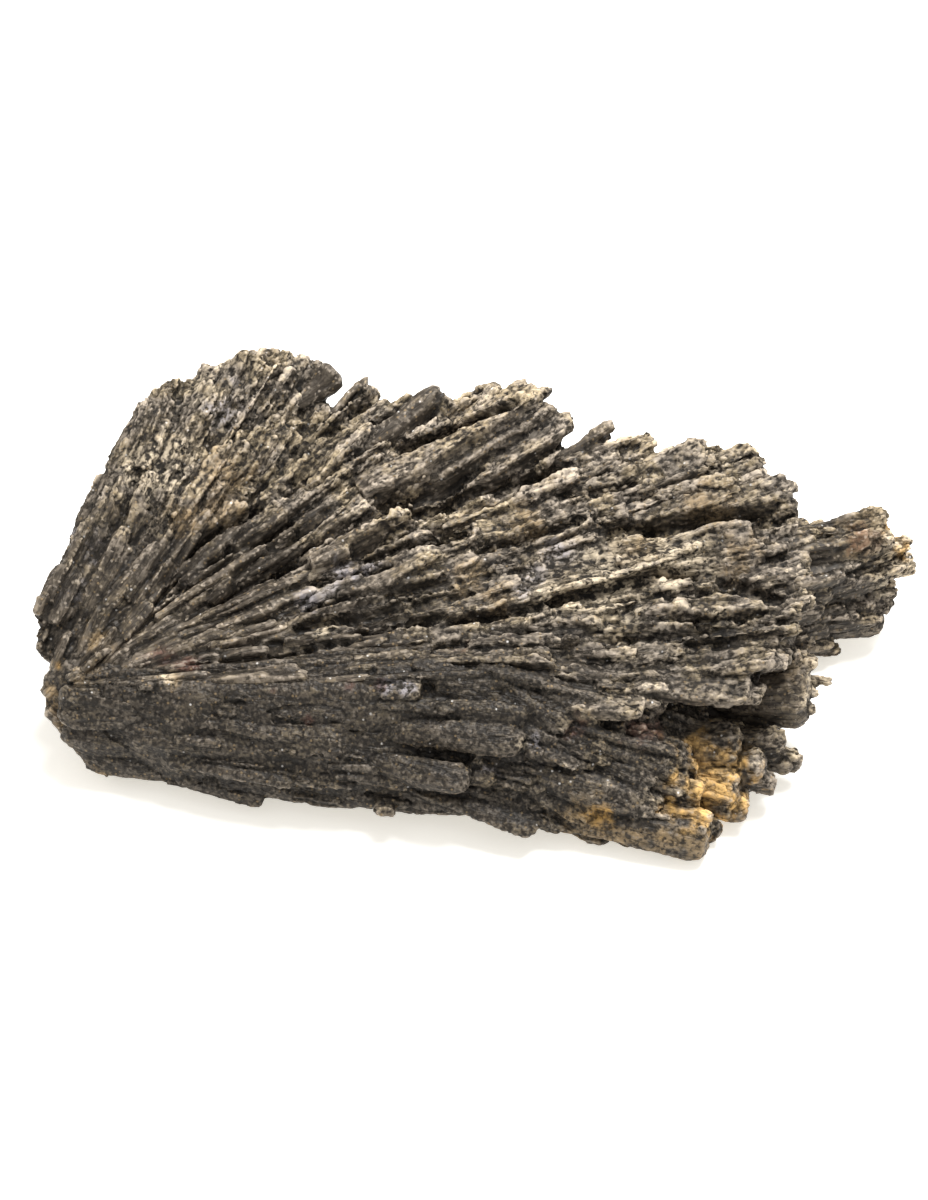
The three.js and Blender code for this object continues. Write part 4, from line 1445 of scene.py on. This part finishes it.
class GrowLowerLobe(bpy.types.Operator):
    """Grow the rounded lobe and the ragged bits below the right block"""

    bl_idname = "kyanite.lower_lobe"
    bl_label = "Lower Lobe"
    bl_options = {"REGISTER", "UNDO"}

    def execute(self, context):
        blades = Blades("lower_lobe", seed=117)
        strew(blades, 8, long=(5, 12), wide=(1.8, 4.0), deep=(1.2, 2.0), high=(-0.1, 0.6), kinds=STUBS)
        return grow(context, blades, crumb_tint=0.76)


# ---- Stage ----

STAGE_FOCUS = np.array([-0.8, 0.0, 16.8])  # the point that the camera looks at, in working coordinates
FLOOR_SIZE = 6  # metres
FLOOR_ROUGHNESS, FLOOR_GLOSS = 0.9, 0.1
LAMP_PLACE = (0.16, 0.22, 0.75)  # metres from the focus
SENSOR_WIDTH = 36


class SetStage(bpy.types.Operator):
    """Lay the floor, hang the light and place the camera"""

    bl_idname = "kyanite.stage"
    bl_label = "Stage"
    bl_options = {"REGISTER", "UNDO"}

    def execute(self, context):
        settings = context.scene.kyanite_stage
        focus = Vector((STAGE_FOCUS + SHIFT) * MM)
        bpy.ops.object.select_all(action="DESELECT")
        bpy.ops.mesh.primitive_plane_add(size=FLOOR_SIZE)
        floor = context.object
        floor.name = "floor"
        material = bpy.data.materials.new("floor")
        material.use_nodes = True
        shader = material.node_tree.nodes["Principled BSDF"]
        for key, value in {
                "Base Color": (*settings.floor, 1), "Emission Color": (*settings.floor_tint, 1),
                "Emission Strength": settings.floor_glow, "Roughness": FLOOR_ROUGHNESS,
                "Specular IOR Level": FLOOR_GLOSS}.items():
            shader.inputs[key].default_value = value
        floor.data.materials.append(material)
        floor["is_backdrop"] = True

        world = bpy.data.worlds.new("studio")
        world.use_nodes = True
        background = world.node_tree.nodes["Background"]
        background.inputs["Strength"].default_value = settings.sky
        background.inputs["Color"].default_value = (1, 1, 1, 1)
        context.scene.world = world

        place = focus + Vector(LAMP_PLACE)
        turn = (focus - place).to_track_quat("-Z", "Y").to_euler()
        bpy.ops.object.light_add(type="AREA", location=place, rotation=turn)
        lamp = context.object.data
        lamp.shape = "SQUARE"
        lamp.size = settings.lamp_size
        lamp.energy = settings.lamp_power

        rise = settings.camera_rise
        eye = focus + Vector((0, -math.cos(rise), math.sin(rise))) * settings.camera_distance
        bpy.ops.object.camera_add(location=eye, rotation=(math.pi / 2 - rise, 0, 0))
        camera = context.object
        camera.data.lens = settings.lens
        camera.data.sensor_width = SENSOR_WIDTH
        camera.data.sensor_fit = "AUTO"
        context.scene.camera = camera
        context.scene.view_settings.view_transform = "Standard"
        return {"FINISHED"}


# ---- Add-on ----

BUNDLE_TOOLS = [
    GrowLeftSlab, GrowFanHigh, GrowFanMiddle, GrowRightBlock, GrowFrontSheet, GrowTailSheaf, GrowLowerLobe,
]


class KyanitePanel(bpy.types.Panel):
    """Lists the settings and the steps in order"""

    bl_idname = "VIEW3D_PT_kyanite"
    bl_label = "Black Kyanite Fan"
    bl_space_type = "VIEW_3D"
    bl_region_type = "UI"
    bl_category = "Kyanite"

    def draw(self, context):
        scene = context.scene
        for settings in (scene.kyanite_skin, scene.kyanite_colours, scene.kyanite_stage):
            box = self.layout.box()
            for key in settings.__annotations__:
                box.prop(settings, key)
        for tool in [*BUNDLE_TOOLS, SetStage]:
            self.layout.operator(tool.bl_idname)


CLASSES = [KyaniteSkin, KyaniteColours, KyaniteStage, *BUNDLE_TOOLS, SetStage, KyanitePanel]


def register():
    for item in CLASSES:
        bpy.utils.register_class(item)
    bpy.types.Scene.kyanite_skin = bpy.props.PointerProperty(type=KyaniteSkin)
    bpy.types.Scene.kyanite_colours = bpy.props.PointerProperty(type=KyaniteColours)
    bpy.types.Scene.kyanite_stage = bpy.props.PointerProperty(type=KyaniteStage)


def unregister():
    del bpy.types.Scene.kyanite_skin, bpy.types.Scene.kyanite_colours, bpy.types.Scene.kyanite_stage
    for item in reversed(CLASSES):
        bpy.utils.unregister_class(item)


def main():
    register()
    for tool in BUNDLE_TOOLS:
        getattr(bpy.ops.kyanite, tool.bl_idname.removeprefix("kyanite."))()
    bpy.ops.kyanite.stage()
    boxes = {"cad": SOLID_BOX, "visual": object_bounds()}
    {name: [list(corner) for corner in box] for name, box in boxes.items()}


if __name__ == "__main__":
    main()
